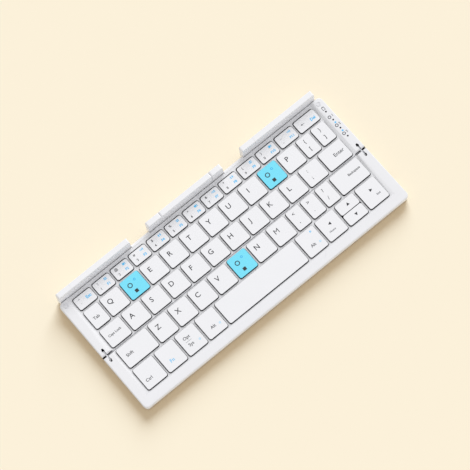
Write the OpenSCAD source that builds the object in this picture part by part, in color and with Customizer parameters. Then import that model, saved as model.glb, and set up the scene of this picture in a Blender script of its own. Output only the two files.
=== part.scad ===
// Folding keyboard, shown open and lying on its feet.
// Sizes are in millimetres. +X runs along the rows to the right, +Y to the back, +Z up.
// Inside the modules y is counted from the front edge; place() centres the whole part.

/* [Body] */
// Width of the rim left and right of the keys
side_bezel = 9.5; // [9.5:0.5:11]
// Depth of the rim in front of the keys
front_bezel = 9.1; // [8.6:0.1:12]
// Depth of the strip behind the number keys
back_strip = 3.4; // [3.2:0.1:6]
// Thickness of each half without its feet
half_t = 7.2; // [7.1:0.1:8]
// Corner radius of each half, seen from above
corner_r = 3; // [1.5:0.5:4]
// Thickness of the side walls
wall_t = 1.7; // [1.5:0.1:1.8]
// How far the lower walls lean in towards the bottom
wall_lean = 0.8; // [0:0.1:0.9]
// Thickness of the lower shell's floor
floor_t = 0.8; // [0.6:0.1:0.9]
// Height of the space for battery and board
bay_h = 1.7; // [1.6:0.1:1.8]
// Height of the seam between lower shell and top frame
seam_h = 4.6; // [4.5:0.1:4.8]

/* [Keys] */
// Width of a letter key; the other keys' widths and the keyboard's width follow from it
letter_key_w = 15.25; // [14:0.05:17]
// Gap between two keys of a row
key_gap = 1.75; // [1.6:0.05:2]
// Gap between two rows
row_gap = 1.75; // [1.6:0.05:2.2]
// Depth of the bottom row's keys
bottom_row_d = 17.8; // [17:0.1:19]
// Depth of the shift row's keys
shift_row_d = 15.9; // [15:0.1:17]
// Depth of the home row's keys
home_row_d = 15.1; // [14:0.1:17]
// Depth of the top letter row's keys
top_row_d = 15.3; // [14:0.1:17]
// Depth of the number row's keys
number_row_d = 9.4; // [9:0.1:11]
// Corner radius of a key
key_corner_r = 1.5; // [0.5:0.1:2]
// Thickness of a key's top
key_top_t = 0.6; // [0.5:0.05:0.7]
// Thickness of a key's skirt
key_skirt_t = 0.7; // [0.5:0.05:0.8]
// Height of a key cap
key_h = 1.6; // [1.5:0.05:1.8]
// How far the keys stand out of the web between them
key_rise = 1.25; // [1.1:0.05:1.3]
// How far the key tops lie below the rim
key_drop = 0.45; // [0.45:0.05:0.55]
// Thickness of the web between the keys
web_t = 0.7; // [0.6:0.05:0.75]
// Clearance between a key and its opening
key_clear = 0.3; // [0.2:0.05:0.35]
// Clearance behind the number keys
number_back_clear = 0.9; // [0.3:0.05:1]
// Gap between the up and down arrow keys
arrow_split = 0.35; // [0.2:0.05:0.6]

/* [Hinge] */
// Distance between the two pivots of a hinge link
pivot_gap = 8.1; // [8.1:0.1:8.8]
// Depth of the pivots below the rim
pivot_depth = 3.2; // [3.1:0.05:3.25]
// Width of the space between the key rows on both sides of the fold
fold_gap = 2.4; // [2.4:0.1:3]
// Radius of a hinge pin
pin_r = 0.8; // [0.6:0.05:0.85]
// Thickness of a hinge link
link_t = 1; // [0.8:0.1:1.2]
// Radius of a hinge link's ends
link_r = 1.3; // [1.2:0.1:1.6]
// Distance of the hinge links from the side faces
link_inset = 3.4; // [3.2:0.1:3.6]

/* [Guards] */
// Thickness of the upright guards at the back
guard_t = 4; // [3.6:0.1:6]
// Gap between the body's back edge and the guards
guard_gap = 0.5; // [0.2:0.05:0.8]
// Height of the guards above the rim
guard_rise = 8.5; // [6:0.5:12]
// Length of the left guard
left_guard_l = 60.5; // [50:0.5:62]
// Length of the right guard
right_guard_l = 62.5; // [50:0.5:64]
// Distance of the left guard from the left side
left_guard_inset = 2.5; // [2:0.5:4]
// Distance of the right guard from the right side
right_guard_inset = 4; // [3:0.5:6]
// Length of the tilting prop between its posts
prop_l = 43.2; // [36:0.2:46]
// Length of the post left of the prop
left_post_l = 11.4; // [8:0.1:13]
// Length of the post right of the prop
right_post_l = 9.3; // [8:0.1:13]
// Place of the prop's middle, right of the keyboard's middle
prop_x = -1.3; // [-3:0.1:3]

/* [Inside] */
// Thickness of the steel plate under the keys
plate_t = 0.3; // [0.2:0.05:0.3]
// Thickness of the switch membrane
membrane_t = 0.2; // [0.15:0.05:0.25]
// Thickness of the rubber sheet that carries the domes
dome_sheet_t = 0.1; // [0.1:0.05:0.15]
// Thickness of a scissor ring
lift_t = 0.5; // [0.4:0.05:0.6]
// Width of a scissor ring's bars
lift_bar = 0.8; // [0.6:0.05:0.9]
// Width of the battery
battery_w = 100; // [60:1:104]
// Depth of the battery
battery_d = 26; // [20:1:26]
// Width of the controller board
board_w = 52; // [30:1:53]
// Depth of the controller board
board_d = 21; // [16:1:21]
// Width of the flat cable across the fold
cable_w = 16; // [8:1:18]
// Radius of the closing magnets
magnet_r = 1.5; // [1:0.1:1.5]
// Radius of the case screws
screw_r = 0.65; // [0.5:0.05:0.7]
// Height of the feet below the shells
foot_h = 0.6; // [0.5:0.1:1]
// Radius of the feet
foot_r = 4; // [3:0.5:5]
// Radius of the rubber bumpers on the rim
bumper_r = 1.7; // [1.2:0.1:1.8]
// Radius of an indicator's light pipe
light_r = 0.6; // [0.4:0.05:0.7]

/* [Hidden] */

// Thin slice and overlap used where shapes are joined
e = 0.01;
// Steps of a rounded corner
arc_steps = 5;
fine = 48;

// Rows from front to back: each key's name and width, counted in letter keys. The home row,
// first behind the fold, gives the field its width, rounded to a tenth. The last key of each
// row takes what is left.
row_depth = [bottom_row_d, shift_row_d, home_row_d, top_row_d, number_row_d];
row_keys = [
    [["ctrl", 1.075], ["fn", 1.023], ["option", 1.016], ["left_alt", 1.01], ["space", 4.44],
        ["right_alt", 1.016], ["left", 1.016], ["up_down", 1.043], ["right", 0]],
    [["left_shift", 1.646], ["z", 1], ["x", 1], ["c", 1], ["v", 1], ["b", 1], ["n", 1], ["m", 1],
        ["comma", 0.721], ["period", 0.721], ["slash", 0.721], ["right_shift", 0]],
    [["caps", 1.095], ["a", 1], ["s", 1], ["d", 1], ["f", 1], ["g", 1], ["h", 1], ["j", 1],
        ["k", 1], ["l", 1], ["semicolon", 1.023], ["enter", 1.259]],
    [["tab", 0.787], ["q", 1], ["w", 1], ["e", 1], ["r", 1], ["t", 1], ["y", 1], ["u", 1],
        ["i", 1], ["o", 1], ["p", 1], ["open_bracket", 0.734], ["close_bracket", 0]],
    [["escape", 0.957], ["n1", 0.905], ["n2", 0.905], ["n3", 0.905], ["n4", 0.905], ["n5", 0.905],
        ["n6", 0.905], ["n7", 0.905], ["n8", 0.938], ["n9", 0.957], ["n0", 0.977], ["minus", 0.977],
        ["delete", 0]]
];
front_rows = [0, 1];
back_rows = [2, 3, 4];
home_row = back_rows[0];
number_row = back_rows[2];
coloured_keys = ["w", "o", "b"];
back_side_names = ["tab", "open_bracket", "close_bracket", "caps", "semicolon", "enter"];
front_side_names = ["left_shift", "comma", "period", "slash", "right_shift", "ctrl", "fn", "option",
    "left_alt", "right_alt", "left", "up_down", "right"];

// Sizes and places of rows and keys
function last_key(r) = len(row_keys[r]) - 1;
function units_before(r, i) = i == 0 ? 0 : units_before(r, i - 1) + row_keys[r][i - 1][1];
function full_w(r) = letter_key_w * units_before(r, last_key(r) + 1) + last_key(r) * key_gap;
block_w = round(full_w(home_row) * 10) / 10;
block_x = block_w / 2;
function row_y(r) = r == 0 ? front_bezel
    : row_y(r - 1) + row_depth[r - 1] + (r == home_row ? fold_gap : row_gap);
function key_x(r, i) = -block_x + letter_key_w * units_before(r, i) + i * key_gap;
function key_w(r, i) = i < last_key(r) ? letter_key_w * row_keys[r][i][1] : block_x - key_x(r, i);
function find_key(name) = [for (r = [0 : len(row_keys) - 1]) for (i = [0 : last_key(r)])
    if (row_keys[r][i][0] == name) [r, i]][0];

body_w = block_w + 2 * side_bezel;
half_w = body_w / 2;
fold_y = row_y(home_row) - fold_gap / 2;
body_d = row_y(number_row) + number_row_d + back_strip;
total_d = body_d + guard_gap + guard_t;

// Heights above the surface that the feet stand on
shell_z = foot_h;
floor_z = shell_z + floor_t;
plate_z = floor_z + bay_h;
membrane_z = plate_z + plate_t;
dome_z = membrane_z + membrane_t;
lift_z = dome_z + dome_sheet_t + 0.05;
rim_z = shell_z + half_t;
key_z = rim_z - key_drop;
key_bottom_z = key_z - key_h;
web_z = key_z - key_rise;
web_bottom_z = web_z - web_t;
seam_z = min(shell_z + seam_h, web_bottom_z - 0.2);
lift_top_z = key_z - key_top_t - 0.05;

// Hinge: both pivots lie the same distance from the fold. What stands above the pivots
// stays inside relief_r of its pivot, so that the halves pass each other in folding.
pivot_z = rim_z - pivot_depth;
front_pivot_y = fold_y - pivot_gap / 2;
back_pivot_y = fold_y + pivot_gap / 2;
relief_r = pivot_gap / 2 - 0.05;
fold_slit = 0.1;
fold_wall_t = fold_gap / 2 - key_clear - fold_slit;
link_x = half_w - link_inset;
pin_fit = 0.05;
link_fit = 0.02;
link_side_fit = 0.15;
slot_w = link_t + 2 * link_side_fit;
slot_reach = link_r + 0.2;
slot_z = pivot_z - slot_reach;
dot_r = 1;
lug_in = 3.6;
lug_d = 3.2;
lug_fit = 0.05;
lug_outer_x = half_w - wall_t - 0.1;
lug_over_pin = 0.45;
lug_top_z = pivot_z + pin_r + lug_over_pin;
pin_cover = 0.4;

// Rim: its edge is rounded, and slopes lead down from it to the field of keys
rim_round = [[0, 0.8], [0.25, 0.25], [0.7, 0]];
field_edge = 0.2;
field_side_edge = 0.6;
slope_side = 2.1;
slope_front = 1.8;

// Room under the side rims, higher than the room under the web
side_roof_z = lug_top_z + 0.05;
side_room_x = block_x + field_side_edge + 0.8;
recess_w = 86;
recess_flare = 5.5;
recess_y = 3.2;
recess_h = 0.25;

// Screws, magnets, bumpers and lights in the side rims
boss_r = 1.5;
boss_inset = 7.2;
boss_x = half_w - boss_inset;
boss_from_wall = 7.7;
boss_from_lug = 1.2;
boss_from_back = 7.5;
boss_floor_h = 0.8;
screw_fit = 0.05;
screw_head_r = 1.3;
screw_head_h = 0.5;
screw_end_gap = 0.4;
front_boss_y = [wall_t + boss_from_wall, front_pivot_y - lug_d - boss_r - boss_from_lug];
back_boss_y = [back_pivot_y + lug_d + boss_r + boss_from_lug, body_d - boss_from_back];
magnet_h = 1.2;
magnet_fit = 0.05;
magnet_side_gap = 0.3;
magnet_end_gap = 0.1;
magnet_x = half_w - wall_t - magnet_side_gap - magnet_r;
front_magnet_y = wall_t + magnet_end_gap + magnet_r;
back_magnet_y = 2 * fold_y - front_magnet_y;
bumper_inset = 4.2;
bumper_from_back = 3.9;
bumper_x = half_w - bumper_inset;
bumper_y = body_d - bumper_from_back;
bumper_sink = 0.4;
bumper_up = 0.3;
bumper_ring = 0.6;
light_inset = 3.9;
light_x = half_w - light_inset;
light_fit = 0.03;
light_from_fold = 13.6;
light_pitch = 7.6;
light_y = [for (k = [0 : 3]) fold_y + light_from_fold + light_pitch * k];

// Sheets under the keys. The back ones have a tab under the lights. The posts that carry the
// plates stand one post step apart, except for the wider middle.
sheet_edge = 0.6;
sheet_fold_gap = fold_slit + fold_wall_t + 0.2;
tab_margin = 1.1;
tab_inset = 0.6;
tab_x = half_w - wall_t - tab_inset;
post_r = 1.2;
post_step = block_w / 7;
post_from_fold = 6;
back_post_from_fold = 14.4;
post_from_back = 6;
post_from_bezel = 0.5;
post_from_battery = 4;
post_x = [for (k = [-3, -2, -1, 1, 2, 3]) k * post_step];

// The flat cable crosses under the fold.
cable_t = 0.2;
cable_z = floor_z + 1.2;
cable_reach = 7.6;
cable_pad = 3;

// Board and port lie in the front half's right end. The battery has the middle of the room
// between the board and the left wall.
board_t = 0.8;
board_end_gap = 0.8;
board_x1 = half_w - wall_t - board_end_gap;
board_x0 = board_x1 - board_w;
board_from_bezel = 2.9;
board_y = front_bezel + board_from_bezel;
battery_h = 1.5;
battery_from_cable = 1.05;
battery_x = (board_x0 - half_w + wall_t) / 2;
battery_y = fold_y - cable_reach - battery_from_cable - battery_d;
port_w = 7.6;
port_h = 2.6;
port_wall = 0.3;
port_l = 6.4;
port_tongue_t = 0.6;
port_fit = 0.1;
port_sink = 0.5;
port_from_board_edge = 10;
port_y = board_y + port_from_board_edge;
port_z = floor_z + board_t;
port_x1 = half_w - port_sink;
window_margin = 0.35;
window_reach = 3;
battery_post_x = [for (s = [-1, 1]) battery_x + s * (battery_w / 2 + post_from_battery)];
front_post_xy = concat([for (x = post_x) [x, fold_y - post_from_fold]],
    [for (x = battery_post_x) for (y = [front_bezel + post_from_bezel, battery_y + battery_d / 2]) [x, y]],
    [[board_x0 + board_w / 2, front_bezel + post_from_bezel]]);
back_post_xy = concat([for (x = post_x) [x, fold_y + back_post_from_fold]],
    [for (x = post_x) [x, body_d - post_from_back]]);

// Feet
foot_sink = 0.2;
foot_fit = 0.05;
foot_inset = 18.5;
foot_x = half_w - foot_inset;
foot_from_front = 8.5;
foot_from_fold = 8;
foot_from_back = 10;
front_foot_y = [foot_from_front, fold_y - foot_from_fold];
back_foot_y = [fold_y + foot_from_fold, body_d - foot_from_back];

// Guards and prop. The prop turns about an axis near its lower edge.
guard_z = shell_z + 0.3;
guard_top_z = rim_z + guard_rise;
guard_y0 = body_d + guard_gap;
guard_y1 = guard_y0 + guard_t;
guard_end_round = 1.2;
guard_edge_round = 0.4;
guard_foot_round = 0.4;
groove_w = 0.3;
groove_h = 0.15;
left_groove = 11;
right_groove = 11.2;
notch_w = 1.6;
notch_h = 1.2;
notch_d = 0.5;
guard_notch = 10.3;
prop_notch = 3.75;
prop_notches = [prop_notch, prop_l - prop_notch];
prop_clear = 0.12;
prop_pivot_y = (guard_y0 + guard_y1) / 2;
prop_pivot_r = (guard_y1 - guard_y0) / 2;
prop_pivot_z = guard_z + prop_pivot_r + 0.05;
prop_pin_r = 0.8;
prop_pin_l = 2;
peg_r = 1;
peg_fit = 0.05;
peg_h = 3.2;
peg_z = shell_z + peg_h;
peg_end = 0.1;
bead_r = 2;
bead_y = body_d - 0.1;
bead_z = web_z + 0.3 - bead_r;
bead_gap = 0.3;
prop_x0 = prop_x - prop_l / 2;
prop_x1 = prop_x + prop_l / 2;
left_guard_x = [-half_w + left_guard_inset, -half_w + left_guard_inset + left_guard_l];
right_guard_x = [half_w - right_guard_inset - right_guard_l, half_w - right_guard_inset];
left_post_x = [prop_x0 - prop_clear - left_post_l, prop_x0 - prop_clear];
right_post_x = [prop_x1 + prop_clear, prop_x1 + prop_clear + right_post_l];
bead_x = [[left_guard_x[1] + bead_gap, left_post_x[0] - bead_gap],
    [right_post_x[1] + bead_gap, right_guard_x[0] - bead_gap]];
function middle(span) = (span[0] + span[1]) / 2;
peg_from_end = 8;
function guard_pegs(span) = [span[0] + peg_from_end, middle(span), span[1] - peg_from_end];
post_pegs = [middle(left_post_x), middle(right_post_x)];
all_pegs = concat(guard_pegs(left_guard_x), guard_pegs(right_guard_x), post_pegs);

white = [0.94, 0.94, 0.95];
cyan = [0.5, 0.88, 1];
grey = [0.72, 0.73, 0.75];
dark = [0.2, 0.2, 0.22];
steel = [0.66, 0.68, 0.7];

module place() {
    translate([0, -total_d / 2, 0])
        children();
}

// Rectangle with rounded corners: rf at the two corners of low y, rb at the two of high y
function arc(cx, cy, r, a) = [for (k = [0 : arc_steps])
    [cx + r * cos(a + k * 90 / arc_steps), cy + r * sin(a + k * 90 / arc_steps)]];
function outline(x0, x1, y0, y1, rf, rb) = concat(
    arc(x0 + rf, y0 + rf, rf, 180), arc(x1 - rf, y0 + rf, rf, 270),
    arc(x1 - rb, y1 - rb, rb, 0), arc(x0 + rb, y1 - rb, rb, 90));

module slab(z, h) {
    translate([0, 0, z])
        linear_extrude(height = h)
            children();
}

module x_rod(x0, x1, y, z, r) {
    translate([x0, y, z])
        rotate([0, 90, 0])
            cylinder(r = r, h = x1 - x0, $fn = fine);
}

module y_rod(y0, y1, x, z, r) {
    translate([x, y1, z])
        rotate([90, 0, 0])
            cylinder(r = r, h = y1 - y0, $fn = fine);
}

module z_rod(z0, z1, x, y, r) {
    translate([x, y, z0])
        cylinder(r = r, h = z1 - z0, $fn = fine);
}

// A half's outline, moved in on its three free sides; at the fold only by fold_in
module half_outline(back, inset, fold_in = 0) {
    x = half_w - inset;
    r = max(corner_r - inset, 0.4);
    fold_r = 0.3;
    if (back)
        polygon(outline(-x, x, fold_y + fold_slit + fold_in, body_d - inset, fold_r, r));
    else
        polygon(outline(-x, x, inset, fold_y - fold_slit - fold_in, r, fold_r));
}

module fold_relief(back) {
    y = back ? back_pivot_y : front_pivot_y;
    difference() {
        translate([-half_w - 1, back ? y - pivot_gap : y, pivot_z])
            cube([body_w + 2, pivot_gap, half_t]);
        x_rod(-half_w - 2, half_w + 2, y, pivot_z, relief_r);
    }
}

// Room for a hinge link on each side, open to the top and to the fold
module link_slots(back) {
    y0 = back ? fold_y - 1 : front_pivot_y - slot_reach;
    y1 = back ? back_pivot_y + slot_reach : fold_y + 1;
    for (s = [-1, 1])
        translate([s * link_x - slot_w / 2, y0, slot_z])
            cube([slot_w, y1 - y0, rim_z + 1 - slot_z]);
}

// Sunk field for the keys: its sides slope up to the rim, and it runs out at the back
module key_field() {
    up = rim_z - web_z + 1;
    run_side = slope_side * up / (up - 1);
    run_front = slope_front * up / (up - 1);
    x = block_x + field_side_edge;
    y = front_bezel - field_edge;
    back = body_d + 3;
    intersection() {
        translate([0, back, web_z])
            rotate([90, 0, 0])
                linear_extrude(height = back + 1)
                    polygon([[-x, 0], [x, 0], [x + run_side, up], [-x - run_side, up]]);
        translate([-half_w - 1, 0, web_z])
            rotate([90, 0, 90])
                linear_extrude(height = body_w + 2)
                    polygon([[y, 0], [back, 0], [back, up], [y - run_front, up]]);
    }
}

function back_clear(r) = r == number_row ? number_back_clear : key_clear;
module key_openings(rows) {
    slab(web_bottom_z - 0.5, web_t + 1)
        for (r = rows)
            for (i = [0 : last_key(r)])
                polygon(outline(key_x(r, i) - key_clear, key_x(r, i) + key_w(r, i) + key_clear,
                    row_y(r) - key_clear, row_y(r) + row_depth[r] + back_clear(r),
                    key_corner_r, key_corner_r));
}

// Shallow recess in the middle of the front rim
module thumb_recess() {
    x = recess_w / 2;
    slab(rim_z - recess_h, 1)
        polygon([[-x, recess_y], [x, recess_y], [x + recess_flare, front_bezel],
            [-x - recess_flare, front_bezel]]);
}

// Rounded bead on the back edge in the gaps between the guards
module back_bead() {
    for (x = bead_x)
        difference() {
            x_rod(x[0], x[1], bead_y, bead_z, bead_r);
            translate([x[0] - 1, body_d - 2 * bead_r, seam_z - 2 * bead_r])
                cube([x[1] - x[0] + 2, 2 * bead_r, 2 * bead_r]);
        }
}

function boss_places(back) = [for (s = [-1, 1]) for (y = back ? back_boss_y : front_boss_y)
    [s * boss_x, y]];
function magnet_places(back) = [for (s = [-1, 1]) [s * magnet_x, back ? back_magnet_y : front_magnet_y]];

// Rooms under both side rims, for the lugs, bosses and magnets
module side_rooms(back) {
    for (s = [-1, 1])
        slab(seam_z - 1, side_roof_z - seam_z + 1)
            intersection() {
                half_outline(back, wall_t, fold_wall_t);
                translate([s > 0 ? side_room_x : -half_w, 0])
                    square([half_w - side_room_x, total_d]);
            }
}

module top_frame(back) {
    pivot_y = back ? back_pivot_y : front_pivot_y;
    difference() {
        union() {
            difference() {
                hull() {
                    slab(seam_z, e)
                        half_outline(back, 0);
                    for (p = rim_round)
                        slab(rim_z - p[1] - e, e)
                            half_outline(back, p[0]);
                }
                slab(seam_z - 1, web_bottom_z - seam_z + 1)
                    half_outline(back, wall_t, fold_wall_t);
                side_rooms(back);
                key_field();
            }
            for (p = boss_places(back))
                z_rod(floor_z + boss_floor_h, side_roof_z + e, p[0], p[1], boss_r);
            if (back)
                back_bead();
        }
        for (p = boss_places(back))
            z_rod(floor_z, side_roof_z - screw_end_gap, p[0], p[1], screw_r + screw_fit);
        for (p = magnet_places(back))
            z_rod(seam_z - 1, side_roof_z + magnet_h, p[0], p[1], magnet_r + magnet_fit);
        key_openings(back ? back_rows : front_rows);
        fold_relief(back);
        link_slots(back);
        for (s = [-1, 1])
            z_rod(lug_top_z, rim_z + 1, s * link_x, pivot_y, dot_r);
        if (back) {
            for (y = light_y)
                z_rod(seam_z, rim_z + 1, light_x, y, light_r + light_fit);
            for (s = [-1, 1])
                z_rod(rim_z - bumper_sink, rim_z + 1, s * bumper_x, bumper_y, bumper_r + light_fit);
        } else
            thumb_recess();
    }
}

// Lugs carry the hinge pins; above the seam they stay inside the top frame's walls
module lugs(back) {
    pivot_y = back ? back_pivot_y : front_pivot_y;
    out = back ? 1 : -1;
    w = lug_outer_x - link_x + lug_in;
    end_y = pivot_y + out * lug_d;
    low_y = fold_y + out * fold_slit;
    high_y = low_y + out * (fold_wall_t + lug_fit);
    for (s = [-1, 1])
        scale([s, 1, 1])
            translate([link_x - lug_in, 0, floor_z - e]) {
                translate([0, min(low_y, end_y), 0])
                    cube([w, abs(end_y - low_y), seam_z - floor_z]);
                translate([0, min(high_y, end_y), 0])
                    cube([w, abs(end_y - high_y), lug_top_z - floor_z + e]);
                translate([0, min(low_y, end_y), 0])
                    cube([w + wall_t / 2, abs(end_y - low_y), pivot_z - floor_z]);
            }
}

module bottom_shell(back) {
    difference() {
        union() {
            difference() {
                hull() {
                    slab(seam_z - e, e)
                        half_outline(back, 0);
                    slab(shell_z, e)
                        half_outline(back, wall_lean);
                }
                slab(floor_z, seam_z)
                    half_outline(back, wall_t, fold_wall_t);
            }
            lugs(back);
            for (p = back ? back_post_xy : front_post_xy)
                z_rod(floor_z - e, plate_z, p[0], p[1], post_r);
            for (p = boss_places(back))
                z_rod(floor_z - e, floor_z + boss_floor_h, p[0], p[1], boss_r);
        }
        fold_relief(back);
        link_slots(back);
        for (s = [-1, 1])
            x_rod(s > 0 ? link_x - lug_in - 1 : -lug_outer_x, s > 0 ? lug_outer_x : -link_x + lug_in + 1,
                back ? back_pivot_y : front_pivot_y, pivot_z, pin_r + pin_fit);
        for (p = boss_places(back)) {
            z_rod(0, seam_z, p[0], p[1], screw_r + screw_fit);
            z_rod(0, shell_z + screw_head_h + screw_fit, p[0], p[1], screw_head_r + screw_fit);
        }
        for (s = [-1, 1])
            for (y = back ? back_foot_y : front_foot_y)
                z_rod(0, shell_z + foot_sink, s * foot_x, y, foot_r + foot_fit);
        translate([-cable_w / 2 - window_margin, fold_y - window_reach, cable_z - window_margin])
            cube([cable_w + 2 * window_margin, 2 * window_reach, cable_t + 2 * window_margin]);
        if (back)
            for (x = all_pegs)
                y_rod(body_d - wall_t - 1, body_d + 1, x, peg_z, peg_r + peg_fit);
        else
            translate([port_x1 - wall_t - 1, port_y - port_w / 2 - port_fit, port_z])
                cube([wall_t + 3, port_w + 2 * port_fit, port_h + port_fit]);
    }
}

module sheet(back, z, h, tab) {
    x = block_x - sheet_edge;
    y0 = back ? fold_y + sheet_fold_gap : front_bezel - 1;
    y1 = back ? body_d - wall_t - 0.2 : fold_y - sheet_fold_gap;
    slab(z, h) {
        translate([-x, y0])
            square([2 * x, y1 - y0]);
        if (tab)
            translate([0, light_y[0] - tab_margin])
                square([tab_x, light_y[3] - light_y[0] + 2 * tab_margin]);
    }
}

// Places that a key is carried at: middle x, middle y, width, depth
function carried(r, i) =
    let (x = key_x(r, i), w = key_w(r, i), y = row_y(r), d = row_depth[r], name = row_keys[r][i][0])
    name == "space" ? [for (s = [0.2, 0.8]) [x + w * s, y + d / 2, letter_key_w, d]] :
    name == "up_down" ? let (h = half_key_d(d)) [for (v = [h / 2, d - h / 2]) [x + w / 2, y + v, w, h]] :
    [[x + w / 2, y + d / 2, w, d]];
function carried_rows(rows) = [for (r = rows) for (i = [0 : last_key(r)]) for (c = carried(r, i)) c];
function half_key_d(d) = (d - arrow_split) / 2;

// Sizes of a key's scissor rings and dome
ring_gap = 0.1;
function lift_l(w) = min(w - 2 * key_skirt_t - 1, 11);
function outer_ring_w(d) = min(d - 2 * key_skirt_t - 0.4, 10.6);
function inner_ring_w(d) = outer_ring_w(d) - 2 * lift_bar - 2 * ring_gap;
function dome_r(d) = min(inner_ring_w(d) / 2 - lift_bar - 0.15, 2.8);

module ring(l, w, tilt) {
    rotate([0, tilt, 0])
        translate([0, 0, -lift_t / 2])
            linear_extrude(height = lift_t)
                difference() {
                    square([l, w], center = true);
                    square([l - 2 * lift_bar, w - 2 * lift_bar], center = true);
                }
}

module scissor_lifts(rows) {
    for (c = carried_rows(rows)) {
        l = lift_l(c[2]);
        tilt = asin((lift_top_z - lift_z - lift_t) / l);
        translate([c[0], c[1], (lift_z + lift_top_z) / 2]) {
            ring(l - lift_t * sin(tilt), outer_ring_w(c[3]), tilt);
            ring(l - lift_t * sin(tilt), inner_ring_w(c[3]), -tilt);
        }
    }
}

module dome_sheet(back) {
    foot = 0.3;
    neck = 0.55;
    h = lift_top_z - dome_z;
    sheet(back, dome_z, dome_sheet_t, false);
    for (c = carried_rows(back ? back_rows : front_rows)) {
        r = dome_r(c[3]);
        translate([c[0], c[1], dome_z])
            rotate_extrude($fn = fine)
                polygon([[0, 0], [r, 0], [r, foot], [r * neck, h - 2 * foot], [r * neck, h], [0, h]]);
    }
}

module cap(x, y, w, d) {
    t = key_skirt_t;
    difference() {
        slab(key_bottom_z, key_h)
            polygon(outline(x, x + w, y, y + d, key_corner_r, key_corner_r));
        slab(key_bottom_z - 1, key_h - key_top_t + 1)
            polygon(outline(x + t, x + w - t, y + t, y + d - t, key_corner_r / 2, key_corner_r / 2));
    }
}

module key(name) {
    k = find_key(name);
    x = key_x(k[0], k[1]);
    w = key_w(k[0], k[1]);
    y = row_y(k[0]);
    d = row_depth[k[0]];
    h = half_key_d(d);
    color(len([for (c = coloured_keys) if (c == name) c]) > 0 ? cyan : white)
        place()
            if (name == "up_down") {
                cap(x, y, w, h);
                cap(x, y + d - h, w, h);
            } else
                cap(x, y, w, d);
}

module screws(back) {
    for (p = boss_places(back)) {
        z_rod(shell_z + screw_fit, shell_z + screw_fit + screw_head_h, p[0], p[1], screw_head_r);
        z_rod(shell_z + screw_head_h, side_roof_z - screw_end_gap, p[0], p[1], screw_r);
    }
}

module feet(ys) {
    for (s = [-1, 1])
        for (y = ys)
            z_rod(0, shell_z + foot_sink, s * foot_x, y, foot_r);
}

module magnets(back) {
    for (p = magnet_places(back))
        z_rod(side_roof_z, side_roof_z + magnet_h, p[0], p[1], magnet_r);
}

// Upright bar between x span[0] and span[1], with rounded ends and softer long edges
module upright(span) {
    intersection() {
        translate([0, guard_y1, 0])
            rotate([90, 0, 0])
                linear_extrude(height = guard_y1 - guard_y0)
                    polygon(outline(span[0], span[1], guard_z, guard_top_z,
                        guard_foot_round, guard_end_round));
        translate([span[0] - 1, 0, 0])
            rotate([90, 0, 90])
                linear_extrude(height = span[1] - span[0] + 2)
                    polygon(outline(guard_y0, guard_y1, guard_z, guard_top_z,
                        guard_foot_round, guard_edge_round));
    }
}

module pegs(xs) {
    for (x = xs)
        y_rod(body_d - wall_t + peg_end, guard_y0 + e, x, peg_z, peg_r);
}

// Small notch in an upright's front, just above the field of keys
module notch(x) {
    translate([x - notch_w / 2, guard_y0 - 1, web_z])
        cube([notch_w, 1 + notch_d, notch_h]);
}

// Shallow line across an upright's front, top and back
module groove(x) {
    difference() {
        translate([x - groove_w / 2, guard_y0 - 1, rim_z])
            cube([groove_w, guard_t + 2, guard_rise + 1]);
        translate([x - groove_w, guard_y0 + groove_h, rim_z - 1])
            cube([2 * groove_w, guard_y1 - guard_y0 - 2 * groove_h, guard_rise + 1 - groove_h]);
    }
}

module back_bottom_shell() {
    color(white) place() bottom_shell(true);
}

module front_bottom_shell() {
    color(white) place() bottom_shell(false);
}

module back_top_frame() {
    color(white) place() top_frame(true);
}

module front_top_frame() {
    color(white) place() top_frame(false);
}

module back_support_plate() {
    color(steel) place() sheet(true, plate_z, plate_t, true);
}

module front_support_plate() {
    color(steel) place() sheet(false, plate_z, plate_t, false);
}

module back_membrane() {
    color(dark) place() sheet(true, membrane_z, membrane_t, true);
}

module front_membrane() {
    color(dark) place() sheet(false, membrane_z, membrane_t, false);
}

module back_dome_sheet() {
    color(dark) place() dome_sheet(true);
}

module front_dome_sheet() {
    color(dark) place() dome_sheet(false);
}

module back_scissor_lifts() {
    color(grey) place() scissor_lifts(back_rows);
}

module front_scissor_lifts() {
    color(grey) place() scissor_lifts(front_rows);
}

module controller_board() {
    big_chip = 8;
    small_chip = 5;
    chip_h = 0.7;
    chip_gap = 8;
    color("seagreen") place()
        translate([board_x0, board_y, floor_z]) {
            cube([board_w, board_d, board_t]);
            translate([chip_gap, (board_d - big_chip) / 2, board_t - e])
                cube([big_chip, big_chip, chip_h]);
            translate([2 * chip_gap + big_chip, (board_d - small_chip) / 2, board_t - e])
                cube([small_chip, small_chip, chip_h]);
        }
}

// Socket for the charging plug: a tube with a tongue in it, closed at its inner end
module usb_port() {
    w = port_w - 2 * port_wall;
    h = port_h - 2 * port_wall;
    color(steel) place() {
        difference() {
            translate([port_x1 - port_l, port_y - port_w / 2, port_z])
                cube([port_l, port_w, port_h]);
            translate([port_x1 - port_l + port_wall, port_y - w / 2, port_z + port_wall])
                cube([port_l, w, h]);
        }
        translate([port_x1 - port_l + port_wall - e, port_y - w / 4, port_z + port_h / 2])
            cube([port_l - 2, w / 2, port_tongue_t]);
    }
}

module status_lights() {
    color("gainsboro") place()
        for (y = light_y)
            z_rod(membrane_z + membrane_t, rim_z, light_x, y, light_r);
}

module battery() {
    color("silver") place()
        translate([battery_x - battery_w / 2, battery_y, floor_z])
            cube([battery_w, battery_d, battery_h]);
}

// Flat cable through both fold walls; its end pads sit under the steel plates
module fold_cable() {
    color("orange") place() {
        translate([-cable_w / 2, fold_y - cable_reach, cable_z])
            cube([cable_w, 2 * cable_reach, cable_t]);
        for (y = [fold_y - cable_reach, fold_y + cable_reach - cable_pad])
            translate([-cable_w / 2, y, cable_z + e])
                cube([cable_w, cable_pad, plate_z - cable_z - e]);
    }
}

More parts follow.
